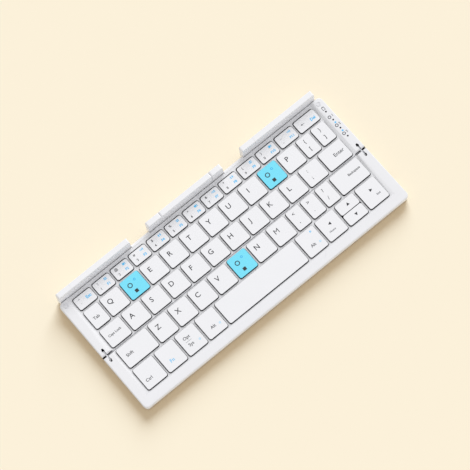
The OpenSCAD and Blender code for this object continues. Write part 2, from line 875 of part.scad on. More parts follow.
module back_magnets() {
    color(steel) place() magnets(true);
}

module front_magnets() {
    color(steel) place() magnets(false);
}

module corner_bumpers() {
    color(grey) place()
        for (s = [-1, 1])
            difference() {
                z_rod(rim_z - bumper_sink, rim_z + bumper_up, s * bumper_x, bumper_y, bumper_r);
                z_rod(rim_z, rim_z + 1, s * bumper_x, bumper_y, bumper_r - bumper_ring);
            }
}

module back_feet() {
    color(dark) place() feet(back_foot_y);
}

module front_feet() {
    color(dark) place() feet(front_foot_y);
}

module back_screws() {
    color(steel) place() screws(true);
}

module front_screws() {
    color(steel) place() screws(false);
}

// One flat link on each side, with a bore at each end
module hinge_links() {
    color(steel) place()
        for (s = [-1, 1])
            difference() {
                union() {
                    for (y = [front_pivot_y, back_pivot_y])
                        x_rod(s * link_x - link_t / 2, s * link_x + link_t / 2, y, pivot_z, link_r);
                    translate([s * link_x - link_t / 2, front_pivot_y, pivot_z - link_r])
                        cube([link_t, pivot_gap, 2 * link_r]);
                }
                for (y = [front_pivot_y, back_pivot_y])
                    x_rod(s * link_x - link_t, s * link_x + link_t, y, pivot_z, pin_r + link_fit);
            }
}

module hinge_pins() {
    x0 = link_x - lug_in + pin_cover;
    x1 = lug_outer_x - 0.1;
    color(steel) place()
        for (y = [front_pivot_y, back_pivot_y]) {
            x_rod(x0, x1, y, pivot_z, pin_r);
            x_rod(-x1, -x0, y, pivot_z, pin_r);
        }
}

module left_guard() {
    color(white) place() {
        difference() {
            upright(left_guard_x);
            notch(left_guard_x[1] - guard_notch);
            groove(left_guard_x[0] + left_groove);
        }
        pegs(guard_pegs(left_guard_x));
    }
}

module right_guard() {
    color(white) place() {
        difference() {
            upright(right_guard_x);
            groove(right_guard_x[0] + right_groove);
        }
        pegs(guard_pegs(right_guard_x));
    }
}

module prop_posts() {
    bore_l = prop_pin_l + prop_clear + 0.2;
    bore_r = prop_pin_r + pin_fit;
    color(white) place() {
        difference() {
            union() {
                upright(left_post_x);
                upright(right_post_x);
            }
            x_rod(left_post_x[1] - bore_l, left_post_x[1] + 1, prop_pivot_y, prop_pivot_z, bore_r);
            x_rod(right_post_x[0] - 1, right_post_x[0] + bore_l, prop_pivot_y, prop_pivot_z, bore_r);
        }
        pegs(post_pegs);
    }
}

// Tilting middle piece: round about its axis below, with a pin at each end
module stand_prop() {
    color(white) place() {
        difference() {
            intersection() {
                upright([prop_x0, prop_x1]);
                union() {
                    x_rod(prop_x0 - 1, prop_x1 + 1, prop_pivot_y, prop_pivot_z, prop_pivot_r);
                    translate([prop_x0 - 1, guard_y0, prop_pivot_z])
                        cube([prop_l + 2, guard_y1 - guard_y0, guard_top_z]);
                }
            }
            for (x = prop_notches)
                notch(prop_x0 + x);
        }
        x_rod(prop_x0 - prop_pin_l, prop_x0 + 1, prop_pivot_y, prop_pivot_z, prop_pin_r);
        x_rod(prop_x1 - 1, prop_x1 + prop_pin_l, prop_pivot_y, prop_pivot_z, prop_pin_r);
    }
}

module letter_q() {
    key("q");
}

module letter_w() {
    key("w");
}

module letter_e() {
    key("e");
}

module letter_r() {
    key("r");
}

module letter_t() {
    key("t");
}

module letter_y() {
    key("y");
}

module letter_u() {
    key("u");
}

module letter_i() {
    key("i");
}

module letter_o() {
    key("o");
}

module letter_p() {
    key("p");
}

module letter_a() {
    key("a");
}

module letter_s() {
    key("s");
}

module letter_d() {
    key("d");
}

module letter_f() {
    key("f");
}

module letter_g() {
    key("g");
}

module letter_h() {
    key("h");
}

module letter_j() {
    key("j");
}

module letter_k() {
    key("k");
}

module letter_l() {
    key("l");
}

module letter_z() {
    key("z");
}

module letter_x() {
    key("x");
}

module letter_c() {
    key("c");
}

module letter_v() {
    key("v");
}

module letter_b() {
    key("b");
}

module letter_n() {
    key("n");
}

module letter_m() {
    key("m");
}

module space_bar() {
    key("space");
}

module number_row_keys() {
    for (k = row_keys[number_row])
        key(k[0]);
}

module back_side_keys() {
    for (name = back_side_names)
        key(name);
}

module front_side_keys() {
    for (name = front_side_names)
        key(name);
}

back_bottom_shell();
back_top_frame();
back_support_plate();
back_membrane();
back_dome_sheet();
back_scissor_lifts();
front_bottom_shell();
front_top_frame();
front_support_plate();
front_membrane();
front_dome_sheet();
front_scissor_lifts();
controller_board();
usb_port();
status_lights();
battery();
fold_cable();
back_magnets();
front_magnets();
corner_bumpers();
back_feet();
front_feet();
back_screws();
front_screws();
hinge_links();
hinge_pins();
left_guard();
right_guard();
prop_posts();
stand_prop();
letter_q();
letter_w();
letter_e();
letter_r();
letter_t();
letter_y();
letter_u();
letter_i();
letter_o();
letter_p();
letter_a();
letter_s();
letter_d();
letter_f();
letter_g();
letter_h();
letter_j();
letter_k();
letter_l();
letter_z();
letter_x();
letter_c();
letter_v();
letter_b();
letter_n();
letter_m();
space_bar();
number_row_keys();
back_side_keys();
front_side_keys();
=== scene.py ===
# %% [markdown]
# # A folding keyboard, dressed for its portrait
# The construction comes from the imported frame: every shell, key, link and pin is already there, in metres, in its
# place. This lesson adds what the frame leaves out: finishes, softened edges, printed legends, small fasteners,
# a floor, light and the camera. Nothing from the frame is moved. What is too plain is replaced by a better piece.

# %% Load the frame
import bmesh
import bpy
import math
from contextlib import contextmanager
from mathutils import Matrix, Vector


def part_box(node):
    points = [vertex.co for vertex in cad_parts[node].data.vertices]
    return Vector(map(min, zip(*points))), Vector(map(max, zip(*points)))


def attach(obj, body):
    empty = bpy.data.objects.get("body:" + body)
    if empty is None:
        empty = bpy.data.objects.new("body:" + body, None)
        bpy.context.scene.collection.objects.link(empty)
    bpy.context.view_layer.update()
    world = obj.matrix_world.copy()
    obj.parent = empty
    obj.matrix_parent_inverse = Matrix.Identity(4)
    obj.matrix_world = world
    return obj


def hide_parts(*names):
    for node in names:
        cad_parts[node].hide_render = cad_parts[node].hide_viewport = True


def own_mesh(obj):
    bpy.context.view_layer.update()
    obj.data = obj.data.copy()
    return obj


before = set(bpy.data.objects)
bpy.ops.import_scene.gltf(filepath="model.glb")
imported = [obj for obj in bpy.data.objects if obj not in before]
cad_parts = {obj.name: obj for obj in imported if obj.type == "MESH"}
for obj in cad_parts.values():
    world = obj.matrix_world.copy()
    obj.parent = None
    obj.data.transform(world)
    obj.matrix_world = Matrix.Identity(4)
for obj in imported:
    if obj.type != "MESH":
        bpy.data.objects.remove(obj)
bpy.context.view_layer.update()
MM = 0.001
BACK = "back_half"
FRONT = "front_half"
HALVES = (("back", BACK), ("front", FRONT))

# %% [markdown]
# ## Where the camera stands
# The photograph looks down at the keyboard from the front left, almost from above, with a long lens. A camera
# could be placed by eye; this one was fitted to the block of keys, which gives the aim point on the key tops, the
# two angles, the roll and the distance. The lens follows from the focal length in pixels, as a share of the
# picture's width.

# %% Camera
PICTURE_PX = 470
FOCAL_PX = 2932.9
SENSOR_MM = 36.0
AIM = Vector((7.35, 5.81, 7.35)) * MM
CAMERA_ELEVATION = math.radians(71.61)
CAMERA_AZIMUTH = math.radians(28.32)
CAMERA_ROLL = math.radians(11.80)
CAMERA_DISTANCE = 1956.4 * MM


def looking(azimuth, elevation):
    """Direction of a view that starts along +Y, turned towards +X by azimuth and down by elevation."""
    flat = math.cos(elevation)
    return Vector((flat * math.sin(azimuth), flat * math.cos(azimuth), -math.sin(elevation)))


def add_camera():
    forward = looking(CAMERA_AZIMUTH, CAMERA_ELEVATION)
    level_right = forward.cross(Vector((0, 0, 1))).normalized()
    level_up = level_right.cross(forward)
    up = level_up * math.cos(CAMERA_ROLL) + level_right * math.sin(CAMERA_ROLL)
    right = forward.cross(up)
    data = bpy.data.cameras.new("photo_camera")
    data.sensor_width = SENSOR_MM
    data.lens = FOCAL_PX * SENSOR_MM / PICTURE_PX
    data.clip_start = 0.01
    data.clip_end = 20.0
    camera = bpy.data.objects.new("photo_camera", data)
    turn = Matrix((right, up, -forward)).transposed().to_4x4()
    camera.matrix_world = Matrix.Translation(AIM - forward * CAMERA_DISTANCE) @ turn
    bpy.context.scene.collection.objects.link(camera)
    bpy.context.scene.camera = camera
    return camera


camera = add_camera()
print("camera at", [round(v, 3) for v in camera.location], "lens", round(camera.data.lens, 1))

# %% [markdown]
# ## Building node trees in a script
# Materials and Geometry Nodes are both trees of nodes. They could be wired by hand in the editor; in a script, four
# small helpers do it. An input takes either a link from another node or a plain number, and one helper decides
# which. It keeps the trees below short enough to read like a recipe.

# %% Helpers for node trees
def add_group(name, kind, inputs, outputs):
    """An empty node group; inputs list (name, socket kind, default value), outputs (name, socket kind)."""
    group = bpy.data.node_groups.new(name, kind)
    for label, socket_kind, value in inputs:
        socket = group.interface.new_socket(label, in_out="INPUT", socket_type="NodeSocket" + socket_kind)
        if value is not None:
            socket.default_value = value
    for label, socket_kind in outputs:
        group.interface.new_socket(label, in_out="OUTPUT", socket_type="NodeSocket" + socket_kind)
    return group, group.nodes.new("NodeGroupInput").outputs, group.nodes.new("NodeGroupOutput").inputs


def feed(tree, socket, value):
    """Links another socket to an input, or gives the input a plain value."""
    if isinstance(value, bpy.types.NodeSocket):
        tree.links.new(value, socket)
    else:
        socket.default_value = value


def add_node(tree, kind, settings=None, **inputs):
    """Adds a node; each keyword names an input, with _ for a space, and what feeds it."""
    node = tree.nodes.new(kind)
    for label, value in (settings or {}).items():
        setattr(node, label, value)
    for label, value in inputs.items():
        feed(tree, node.inputs[label.replace("_", " ")], value)
    return node


def add_math(tree, operation, *values, kind="ShaderNodeMath"):
    """A math node on sockets or numbers; gives its result."""
    node = add_node(tree, kind, {"operation": operation})
    for socket, value in zip(node.inputs, values):
        feed(tree, socket, value)
    return node.outputs[0]


# %% [markdown]
# ## Two effects that many finishes share
# Moulded plastic is never quite smooth: the mould leaves a very fine grain, which breaks up the gloss. And around
# keys the light dies in the narrow gaps, and that shade is painted into the colour. Each effect could be repeated
# in every material; as a node group with named sockets it is built once, and every material places it with its own
# values.

# %% Shared shader groups
LIGHT_GREY = (0.8, 0.8, 0.8, 1.0)
NEAR_BLACK = (0.05, 0.05, 0.05, 1.0)


def build_grain_group():
    """Fine moulded grain: a bumped normal, and a roughness and colour that wander a little."""
    group, source, sink = add_group(
        "moulded_grain", "ShaderNodeTree",
        [("Color", "Color", LIGHT_GREY), ("Roughness", "Float", 0.45), ("Grain Scale", "Float", 4000.0),
         ("Grain Depth", "Float", 0.00001), ("Cloudiness", "Float", 0.03)],
        [("Color", "Color"), ("Roughness", "Float"), ("Normal", "Vector")])
    place = add_node(group, "ShaderNodeTexCoord").outputs["Object"]
    grain = add_node(group, "ShaderNodeTexNoise", Vector=place, Scale=source["Grain Scale"], Detail=3.0)
    bump = add_node(group, "ShaderNodeBump", Strength=0.4, Distance=source["Grain Depth"],
                    Height=grain.outputs["Fac"])
    cloud = add_node(group, "ShaderNodeTexNoise", Vector=place, Scale=45.0, Detail=4.0)
    centred = add_math(group, "SUBTRACT", cloud.outputs["Fac"], 0.5)
    wander = add_math(group, "MULTIPLY", centred, source["Cloudiness"])
    tint = add_node(group, "ShaderNodeVectorMath", {"operation": "SCALE"}, Vector=source["Color"],
                    Scale=add_math(group, "ADD", wander, 1.0))
    rough_wander = add_math(group, "MULTIPLY", wander, 3.0)
    feed(group, sink["Color"], tint.outputs["Vector"])
    feed(group, sink["Roughness"], add_math(group, "ADD", source["Roughness"], rough_wander))
    feed(group, sink["Normal"], bump.outputs["Normal"])
    return group


def build_depth_group():
    """Painted shade: darkens a colour below a height, from Top down to Bottom, as light dies in a narrow gap."""
    group, source, sink = add_group(
        "gap_shade", "ShaderNodeTree",
        [("Color", "Color", LIGHT_GREY), ("Shade", "Color", NEAR_BLACK), ("Top", "Float", 0.007),
         ("Bottom", "Float", 0.006)],
        [("Color", "Color")])
    place = add_node(group, "ShaderNodeTexCoord").outputs["Object"]
    height = add_node(group, "ShaderNodeSeparateXYZ", Vector=place).outputs["Z"]
    ramp = add_node(group, "ShaderNodeMapRange", {"interpolation_type": "SMOOTHSTEP"}, Value=height,
                    From_Min=source["Bottom"], From_Max=source["Top"])
    mix = add_node(group, "ShaderNodeMix", {"data_type": "RGBA"}, Factor=ramp.outputs["Result"],
                   A=source["Shade"], B=source["Color"])
    feed(group, sink["Color"], mix.outputs["Result"])
    return group


GRAIN = build_grain_group()
GAP_SHADE = build_depth_group()
print("shared groups:", GRAIN.name, GAP_SHADE.name)

# %% [markdown]
# ## The finishes
# The cases, guards and most keys are satin white plastic, three keys are cyan. Inside are dark rubber and
# membrane, whose dark tone also paints the shade in the gaps between keys, zinc-grey steel, a green board. Each
# could have a tree of its own; here one function makes every plastic and another every metal, because brushed
# metal shows fine drawn lines. Colours are written as they look on screen and turned into linear values here.

# %% Material makers
def srgb(*levels):
    """A colour read from a screen, red, green and blue from 0 to 255, as linear RGBA."""
    shares = [level / 255.0 for level in levels]
    return (*[share / 12.92 if share <= 0.04045 else ((share + 0.055) / 1.055) ** 2.4 for share in shares], 1.0)


def start_material(name, colour, roughness, **grain):
    """A material whose colour and roughness come through the shared grain."""
    material = bpy.data.materials.new(name)
    material.use_nodes = True
    tree = material.node_tree
    shader = tree.nodes["Principled BSDF"].inputs
    texture = add_node(tree, "ShaderNodeGroup", {"node_tree": GRAIN}, Color=colour, Roughness=roughness,
                       **grain).outputs
    feed(tree, shader["Base Color"], texture["Color"])
    feed(tree, shader["Roughness"], texture["Roughness"])
    return material, tree, shader, texture


def plastic(name, colour, roughness, grain=0.000008, cloud=0.03, coat=0.0, specular=0.5, gap=None):
    """Moulded plastic. gap = (shade colour, top height, bottom height) paints shade that darkens it down a gap."""
    material, tree, shader, texture = start_material(name, colour, roughness, Grain_Depth=grain, Cloudiness=cloud)
    if gap:
        shade = add_node(tree, "ShaderNodeGroup", {"node_tree": GAP_SHADE}, Color=texture["Color"], Shade=gap[0],
                         Top=gap[1], Bottom=gap[2])
        feed(tree, shader["Base Color"], shade.outputs["Color"])
    feed(tree, shader["Normal"], texture["Normal"])
    shader["Coat Weight"].default_value = coat
    shader["Specular IOR Level"].default_value = specular
    return material


def brushed_metal(name, colour, roughness=0.32, line_scale=900.0):
    """Metal with fine drawn lines along X: noise stretched by a Mapping node."""
    material, tree, shader, _ = start_material(name, colour, roughness, Cloudiness=0.12)
    shader["Metallic"].default_value = 1.0
    place = add_node(tree, "ShaderNodeTexCoord").outputs["Object"]
    stretch = add_node(tree, "ShaderNodeMapping", Vector=place, Scale=(0.05, 1.0, 1.0))
    lines = add_node(tree, "ShaderNodeTexNoise", Vector=stretch.outputs["Vector"], Scale=line_scale, Detail=4.0)
    bump = add_node(tree, "ShaderNodeBump", Strength=0.25, Distance=0.00001, Height=lines.outputs["Fac"])
    feed(tree, shader["Normal"], bump.outputs["Normal"])
    return material


def printed_ink(name, *levels):
    """Ink on a key: nearly matt, with the least unevenness of a pad print."""
    return plastic(name, srgb(*levels), 0.6, grain=0.000002, cloud=0.08)


# %% [markdown]
# ## Heights that the finishes need
# The darkening down a gap starts at the web between the keys. Its height could be typed in, but then it would stay
# behind if the frame changed. The box of a key and the box of the top frame give the key tops and the rim, and
# the web lies 1.25 mm below the key tops.

# %% Heights from the frame
KEY_RISE = 1.25 * MM
KEY_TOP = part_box("letter_a")[1][2]
RIM_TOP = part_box("front_top_frame")[1][2]
WEB_TOP = KEY_TOP - KEY_RISE
print("rim", round(RIM_TOP / MM, 2), "key tops", round(KEY_TOP / MM, 2), "web", round(WEB_TOP / MM, 2))

# %% The finishes of this keyboard
CASE_WHITE = srgb(238, 238, 241)
GUARD_WHITE = srgb(243, 243, 246)
KEY_WHITE = srgb(241, 241, 244)
CYAN = srgb(124, 227, 251)
# The dark of the painted shade in gaps and openings.
GAP_SHADE_DARK = srgb(38, 38, 42)
SATIN = 0.3
WALL_SHADE_FADE = (WEB_TOP - 0.3 * MM, WEB_TOP - 0.9 * MM)
SIDE_SHADE_FADE = (KEY_TOP - 0.2 * MM, KEY_TOP - 1.0 * MM)

case_plastic = plastic("case_plastic", CASE_WHITE, 0.56, specular=SATIN)
# Painted shade: the walls of the key openings darken with depth.
wall_plastic = plastic("wall_plastic", CASE_WHITE, 0.7, gap=(GAP_SHADE_DARK, *WALL_SHADE_FADE))
# Painted shade: the walls along the fold and in the link slots are dark.
fold_plastic = plastic("fold_plastic", GAP_SHADE_DARK, 0.8)
guard_plastic = plastic("guard_plastic", GUARD_WHITE, 0.5, specular=SATIN)
key_plastic = plastic("key_plastic", KEY_WHITE, 0.54, specular=SATIN)
cyan_plastic = plastic("cyan_plastic", CYAN, 0.54, specular=SATIN)
# Painted shade: the sides of the caps are dark, darker downwards, as the gaps round the keys are in shade.
key_skirt = plastic("key_skirt", srgb(56, 56, 60), 0.7, gap=(srgb(26, 26, 29), *SIDE_SHADE_FADE))
cyan_skirt = plastic("cyan_skirt", srgb(8, 96, 120), 0.7, gap=(srgb(4, 34, 46), *SIDE_SHADE_FADE))
# Dark film and rubber; their dark tone is also painted shade under the gaps between keys.
membrane_film = plastic("membrane_film", srgb(44, 44, 48), 0.5, cloud=0.1)
dome_rubber = plastic("dome_rubber", srgb(52, 52, 56), 0.75, grain=0.00002, cloud=0.12)
foot_rubber = plastic("foot_rubber", srgb(50, 50, 52), 0.85, grain=0.00004, cloud=0.15)
bumper_rubber = plastic("bumper_rubber", srgb(230, 230, 234), 0.7, grain=0.00002, cloud=0.08)
lift_plastic = plastic("lift_plastic", srgb(205, 206, 208), 0.4)
board_green = plastic("board_green", srgb(26, 92, 58), 0.35, cloud=0.25)
cable_amber = plastic("cable_amber", srgb(196, 122, 44), 0.3, cloud=0.1)
lamp_window = plastic("lamp_window", srgb(30, 30, 34), 0.12, grain=0.000001, coat=0.6)
battery_wrap = brushed_metal("battery_wrap", srgb(186, 188, 192), 0.36, line_scale=500.0)
plate_steel = brushed_metal("plate_steel", srgb(170, 172, 176))
link_steel = brushed_metal("link_steel", srgb(240, 241, 244), 0.42)
pin_steel = brushed_metal("pin_steel", srgb(120, 122, 126), 0.3)
# Painted shade: the black ends of the hinge links round their pins.
screw_black = brushed_metal("screw_black", srgb(34, 34, 38), 0.42)
magnet_nickel = brushed_metal("magnet_nickel", srgb(200, 200, 204), 0.2)
ink_dark = printed_ink("ink_dark", 44, 45, 50)
ink_grey = printed_ink("ink_grey", 96, 98, 104)
ink_blue = printed_ink("ink_blue", 88, 196, 248)
ink_pale = printed_ink("ink_pale", 186, 226, 249)
ink_ocean = printed_ink("ink_ocean", 58, 178, 236)
print("materials:", len(bpy.data.materials))

# %% [markdown]
# ## Painting the pieces that keep their frame shape
# Plates, membranes, board, battery, magnets and pins are right as the frame has them. They could be copied and
# refined, but nobody sees more of them than an edge, so they only get a finish. Their meshes stay as they are: the
# finish goes into the material slot of the object.

# %% Paint frame nodes
PLAIN_FINISHES = {
    "back_support_plate": plate_steel,
    "front_support_plate": plate_steel,
    "back_membrane": membrane_film,
    "front_membrane": membrane_film,
    "controller_board": board_green,
    "usb_port": link_steel,
    "status_lights": lamp_window,
    "battery": battery_wrap,
    "back_magnets": magnet_nickel,
    "front_magnets": magnet_nickel,
    "hinge_pins": pin_steel,
}
for node, material in PLAIN_FINISHES.items():
    for object_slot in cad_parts[node].material_slots:
        object_slot.material = material
print("painted:", len(PLAIN_FINISHES))

# %% [markdown]
# ## Helpers that turn work meshes into finished pieces
# A finished piece is a plain mesh with its place in its vertices, on an object at the origin. Modifiers could stay
# live, but a plain mesh is what moves with a body, so they are applied. The last helpers shade a piece: faces that
# meet at less than an angle look like one curve.

# %% Objects and meshes
def object_of(name, data, materials=()):
    """A new object in the scene, at the origin."""
    for material in materials:
        data.materials.append(material)
    piece = bpy.data.objects.new(name, data)
    bpy.context.scene.collection.objects.link(piece)
    return piece


def shown_mesh(piece):
    """A plain mesh of what an object shows, with its modifiers."""
    return bpy.data.meshes.new_from_object(piece.evaluated_get(bpy.context.evaluated_depsgraph_get()))


def apply_modifiers(piece):
    mesh = shown_mesh(piece)
    piece.modifiers.clear()
    piece.data = mesh


@contextmanager
def editing(mesh):
    """Opens a mesh for editing and writes it back at the end."""
    work = bmesh.new()
    work.from_mesh(mesh)
    yield work
    work.to_mesh(mesh)
    work.free()


SAME_POINT = 0.0005 * MM


def merged_copy(node):
    """A frame node's mesh with its loose triangles joined and flat areas made whole faces."""
    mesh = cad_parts[node].data.copy()
    mesh.materials.clear()
    with editing(mesh) as work:
        bmesh.ops.remove_doubles(work, verts=work.verts, dist=SAME_POINT)
        bmesh.ops.dissolve_limit(work, angle_limit=math.radians(0.5), verts=work.verts, edges=work.edges)
    return mesh


def seat(piece, body, material_slot, *nodes):
    """Rides the piece on its body and hides the nodes that it stands for."""
    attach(piece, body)
    if nodes:
        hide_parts(*nodes)


# %% Shading and soft edges
def shade_by_angle(mesh, degrees=32.0):
    for polygon in mesh.polygons:
        polygon.use_smooth = True
    mesh.set_sharp_from_angle(angle=math.radians(degrees))


def crease_wide_faces(mesh, width=0.6 * MM, degrees=8.0):
    """Keeps the fold between two wide faces crisp, however shallow it is."""
    with editing(mesh) as work:
        for edge in work.edges:
            if len(edge.link_faces) == 2 and edge.calc_face_angle(0.0) > math.radians(degrees):
                spans = [face.calc_area() / max(side.calc_length() for side in face.edges)
                         for face in edge.link_faces]
                if min(spans) > width:
                    edge.smooth = False


def level_normals(piece):
    """Lets wide faces rule the shading, so that a flat stays flat up to its rounded edge."""
    modifier = piece.modifiers.new("level", "WEIGHTED_NORMAL")
    modifier.mode = "FACE_AREA"
    modifier.weight = 50
    modifier.keep_sharp = True
    apply_modifiers(piece)


def softened(name, node, materials, width, segments=2):
    """A copy of a node whose sharp edges are rounded by width, as a mould's edges are."""
    piece = object_of(name, merged_copy(node))
    bevel = piece.modifiers.new("round", "BEVEL")
    bevel.width = width
    bevel.segments = segments
    bevel.limit_method = "ANGLE"
    bevel.angle_limit = math.radians(40.0)
    bevel.use_clamp_overlap = True
    apply_modifiers(piece)
    piece.data.materials.clear()
    for material in materials:
        piece.data.materials.append(material)
    shade_by_angle(piece.data)
    crease_wide_faces(piece.data)
    level_normals(piece)
    return piece


# %% [markdown]
# ## The case
# On the real keyboard each half is a lower shell and a top frame, both moulded, with edges rounded by a few tenths
# of a millimetre that catch the light. The frame's solids have the true shape but knife edges. Subdivision would
# melt the whole shape; a bevel with an angle limit rounds just the sharp edges. The walls inside the key openings
# get painted shade that darkens with depth, and the walls along the fold and in the slots of the links are painted
# dark, because next to no light reaches them.

# %% Which faces of the case get painted shade
FOLD_Y = (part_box("back_top_frame")[0][1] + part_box("front_top_frame")[1][1]) / 2
LINK_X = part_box("hinge_links")[1][0] - 0.5 * MM
KEYS_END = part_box("number_row_keys")[1][0] + 0.5 * MM
PIVOT_FROM_FOLD = 4.05 * MM
SLOT_BEFORE_PIVOT = 0.4 * MM
SLOT_PAST_PIVOT = 1.7 * MM
SLOT_HALF_WIDTH = 1.3 * MM
FOLD_WALL = 0.7 * MM
CASE_FINISHES = (case_plastic, wall_plastic, fold_plastic)


def finish_faces(mesh, index, wanted):
    """Gives the material with this index to the faces that a test picks, and counts them."""
    picked = [polygon for polygon in mesh.polygons if wanted(polygon)]
    for polygon in picked:
        polygon.material_index = index
    return len(picked)


def shade_openings(mesh, dome_sheet):
    """Paints shade on the faces below the web and over the dome sheet: the walls of the key openings."""
    low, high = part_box(dome_sheet)

    def in_opening(polygon):
        centre = polygon.center
        inside = low[0] < centre.x < high[0] and low[1] < centre.y < high[1]
        return inside and centre.z < WEB_TOP - 0.02 * MM

    return finish_faces(mesh, CASE_FINISHES.index(wall_plastic), in_opening)


def shade_fold(mesh):
    """Paints shade on the walls along the fold and round the ends of the links."""
    def at_fold(polygon):
        centre = polygon.center
        off_fold = abs(centre.y - FOLD_Y)
        in_slot = abs(abs(centre.x) - LINK_X) < SLOT_HALF_WIDTH and centre.z < RIM_TOP - 0.2 * MM
        at_pivot = -SLOT_BEFORE_PIVOT < off_fold - PIVOT_FROM_FOLD < SLOT_PAST_PIVOT
        beside_keys = abs(centre.x) > KEYS_END and off_fold < FOLD_WALL
        upright = abs(polygon.normal.z) < 0.8
        return (at_pivot and in_slot) or (upright and beside_keys)

    return finish_faces(mesh, CASE_FINISHES.index(fold_plastic), at_fold)


print("fold at", round(FOLD_Y / MM, 2), "links at", round(LINK_X / MM, 2), "from the middle")

# %% Case shells and frames
EDGE_ROUND = 0.14 * MM
for half, body in HALVES:
    for node in (half + "_top_frame", half + "_bottom_shell"):
        piece = softened(node + "_case", node, CASE_FINISHES, EDGE_ROUND)
        opening_faces = shade_openings(piece.data, half + "_dome_sheet") if node == half + "_top_frame" else 0
        fold_faces = shade_fold(piece.data)
        seat(piece, body, "case", node)
        print(piece.name, "faces", len(piece.data.polygons), "openings", opening_faces, "fold", fold_faces)

# %% [markdown]
# ## The guards and the prop
# The uprights behind the number row are thick, smooth bars with generously rounded edges. They could be built anew
# from curves, but their solids already have the round corners and the split lines; a wider bevel makes the long
# edges soft, too.

# %% Guards and prop
GUARD_ROUND = 0.3 * MM
for node, body in (("left_guard", BACK), ("right_guard", BACK), ("prop_posts", BACK), ("stand_prop", "prop")):
    piece = softened(node + "_bar", node, [guard_plastic], GUARD_ROUND, segments=3)
    seat(piece, body, "guard", node)
    print(piece.name, "faces", len(piece.data.polygons))

# %% [markdown]
# ## Links, bumpers and feet
# The hinge links are stamped steel with a slight edge radius; round their pins they are given a black finish that
# is painted shade, the shade in the slots they sit in, and from above each hinge shows two black dots with a bright
# bar between them. A texture could paint the ends, but a cut in the mesh beside each pin gives them a crisp edge.
# Bumpers and feet are rubber: their edges are rounder, because rubber is moulded and wears.

# %% Where the separate solids of a node are
def islands(node):
    """The boxes of the separate solids in a node, as (lowest corner, highest corner), from left to right."""
    boxes = []
    with editing(merged_copy(node)) as work:
        waiting = set(work.verts)
        while waiting:
            group = [waiting.pop()]
            low = group[0].co.copy()
            high = group[0].co.copy()
            while group:
                vert = group.pop()
                for axis in range(3):
                    low[axis] = min(low[axis], vert.co[axis])
                    high[axis] = max(high[axis], vert.co[axis])
                for edge in vert.link_edges:
                    other = edge.other_vert(vert)
                    if other in waiting:
                        waiting.discard(other)
                        group.append(other)
            boxes.append((low, high))
    return sorted(boxes, key=lambda box: (round(box[0].x / MM), box[0].y))


pin_boxes = islands("hinge_pins")
pivot_lines = [(low.y + high.y) / 2 for low, high in pin_boxes]
print("pins:", len(pin_boxes), "pivot lines:", sorted({round(y / MM, 2) for y in pivot_lines}))


# %% Small softened pieces
def cut_level(work, y, **sides):
    """Cuts an open mesh with an upright plane across Y; sides says which part goes."""
    geometry = work.verts[:] + work.edges[:] + work.faces[:]
    return bmesh.ops.bisect_plane(work, geom=geometry, dist=1e-7, plane_co=(0, y, 0), plane_no=(0, 1, 0), **sides)


def paint_link_end_shade(mesh, pivots, kept_bright=0.1 * MM):
    """Cuts the mesh just outside each pivot line and gives what lies beyond the second material, the black of
    painted shade.
    """
    near, far = min(pivots) - kept_bright, max(pivots) + kept_bright
    with editing(mesh) as work:
        for y in (near, far):
            cut_level(work, y)
        for face in work.faces:
            if not near <= face.calc_center_median().y <= far:
                face.material_index = 1


piece = softened("hinge_links_finished", "hinge_links", [link_steel, screw_black], 0.1 * MM)
paint_link_end_shade(piece.data, pivot_lines)
seat(piece, "fold_links", "link", "hinge_links")
for node, body, material, material_slot, width in (
        ("corner_bumpers", BACK, bumper_rubber, "bumper", 0.1 * MM),
        ("back_feet", BACK, foot_rubber, "foot", 0.2 * MM),
        ("front_feet", FRONT, foot_rubber, "foot", 0.2 * MM)):
    piece = softened(node + "_finished", node, [material], width)
    seat(piece, body, material_slot, node)
    print(piece.name, "faces", len(piece.data.polygons))

# %% [markdown]
# ## The flat cable
# A flat cable joins the two halves through slits in the walls along the fold. A real one bends round the fold; one
# rigid piece would stand out like a tongue when the keyboard is folded. It is cut at the fold instead, and each
# part stays in its own half.

# %% Cable halves
def cut_copy(node, name, keep_back):
    """A copy of a node's mesh on one side of the fold, closed where it is cut."""
    mesh = merged_copy(node)
    mesh.name = name
    with editing(mesh) as work:
        result = cut_level(work, FOLD_Y, clear_inner=keep_back, clear_outer=not keep_back)
        cut_edges = [item for item in result["geom_cut"] if isinstance(item, bmesh.types.BMEdge)]
        bmesh.ops.holes_fill(work, edges=cut_edges, sides=0)
    return mesh


for half, body in HALVES:
    name = "fold_cable_" + half
    piece = object_of(name, cut_copy("fold_cable", name, half == "back"), [cable_amber])
    seat(piece, body, "cable", "fold_cable")
    print(piece.name, "faces", len(piece.data.polygons))

# %% [markdown]
# ## Key caps from one node tree
# A keyboard is one cap, repeated with other widths and depths. Each could be modelled by hand; Geometry Nodes need
# the recipe only once. A rounded rectangle is filled, pulled up into a block, and stepped in three times at the
# top for a soft edge. A smaller block is cut out from below, because a cap is a thin shell over its lift. Width,
# depth, height, corner, edge and wall are inputs, so that the same tree makes a letter key and the space bar. The
# sides of a cap stand in a gap a third of a millimetre wide and never look white, so they get painted shade: a dark
# finish that deepens downwards.

# %% Steps that both shape trees use
def joined(tree, *parts):
    node = add_node(tree, "GeometryNodeJoinGeometry")
    for part in parts:
        tree.links.new(part, node.inputs["Geometry"])
    return node.outputs["Geometry"]


def moved(tree, geometry, offset, **only):
    return add_node(tree, "GeometryNodeSetPosition", Geometry=geometry, Offset=offset, **only).outputs["Geometry"]


def cut_out(tree, body, *cutters):
    """The body without what the cutters fill."""
    node = add_node(tree, "GeometryNodeMeshBoolean", {"operation": "DIFFERENCE", "solver": "EXACT"}, Mesh_1=body)
    for cutter in cutters:
        tree.links.new(cutter, node.inputs["Mesh 2"])
    return node.outputs["Mesh"]


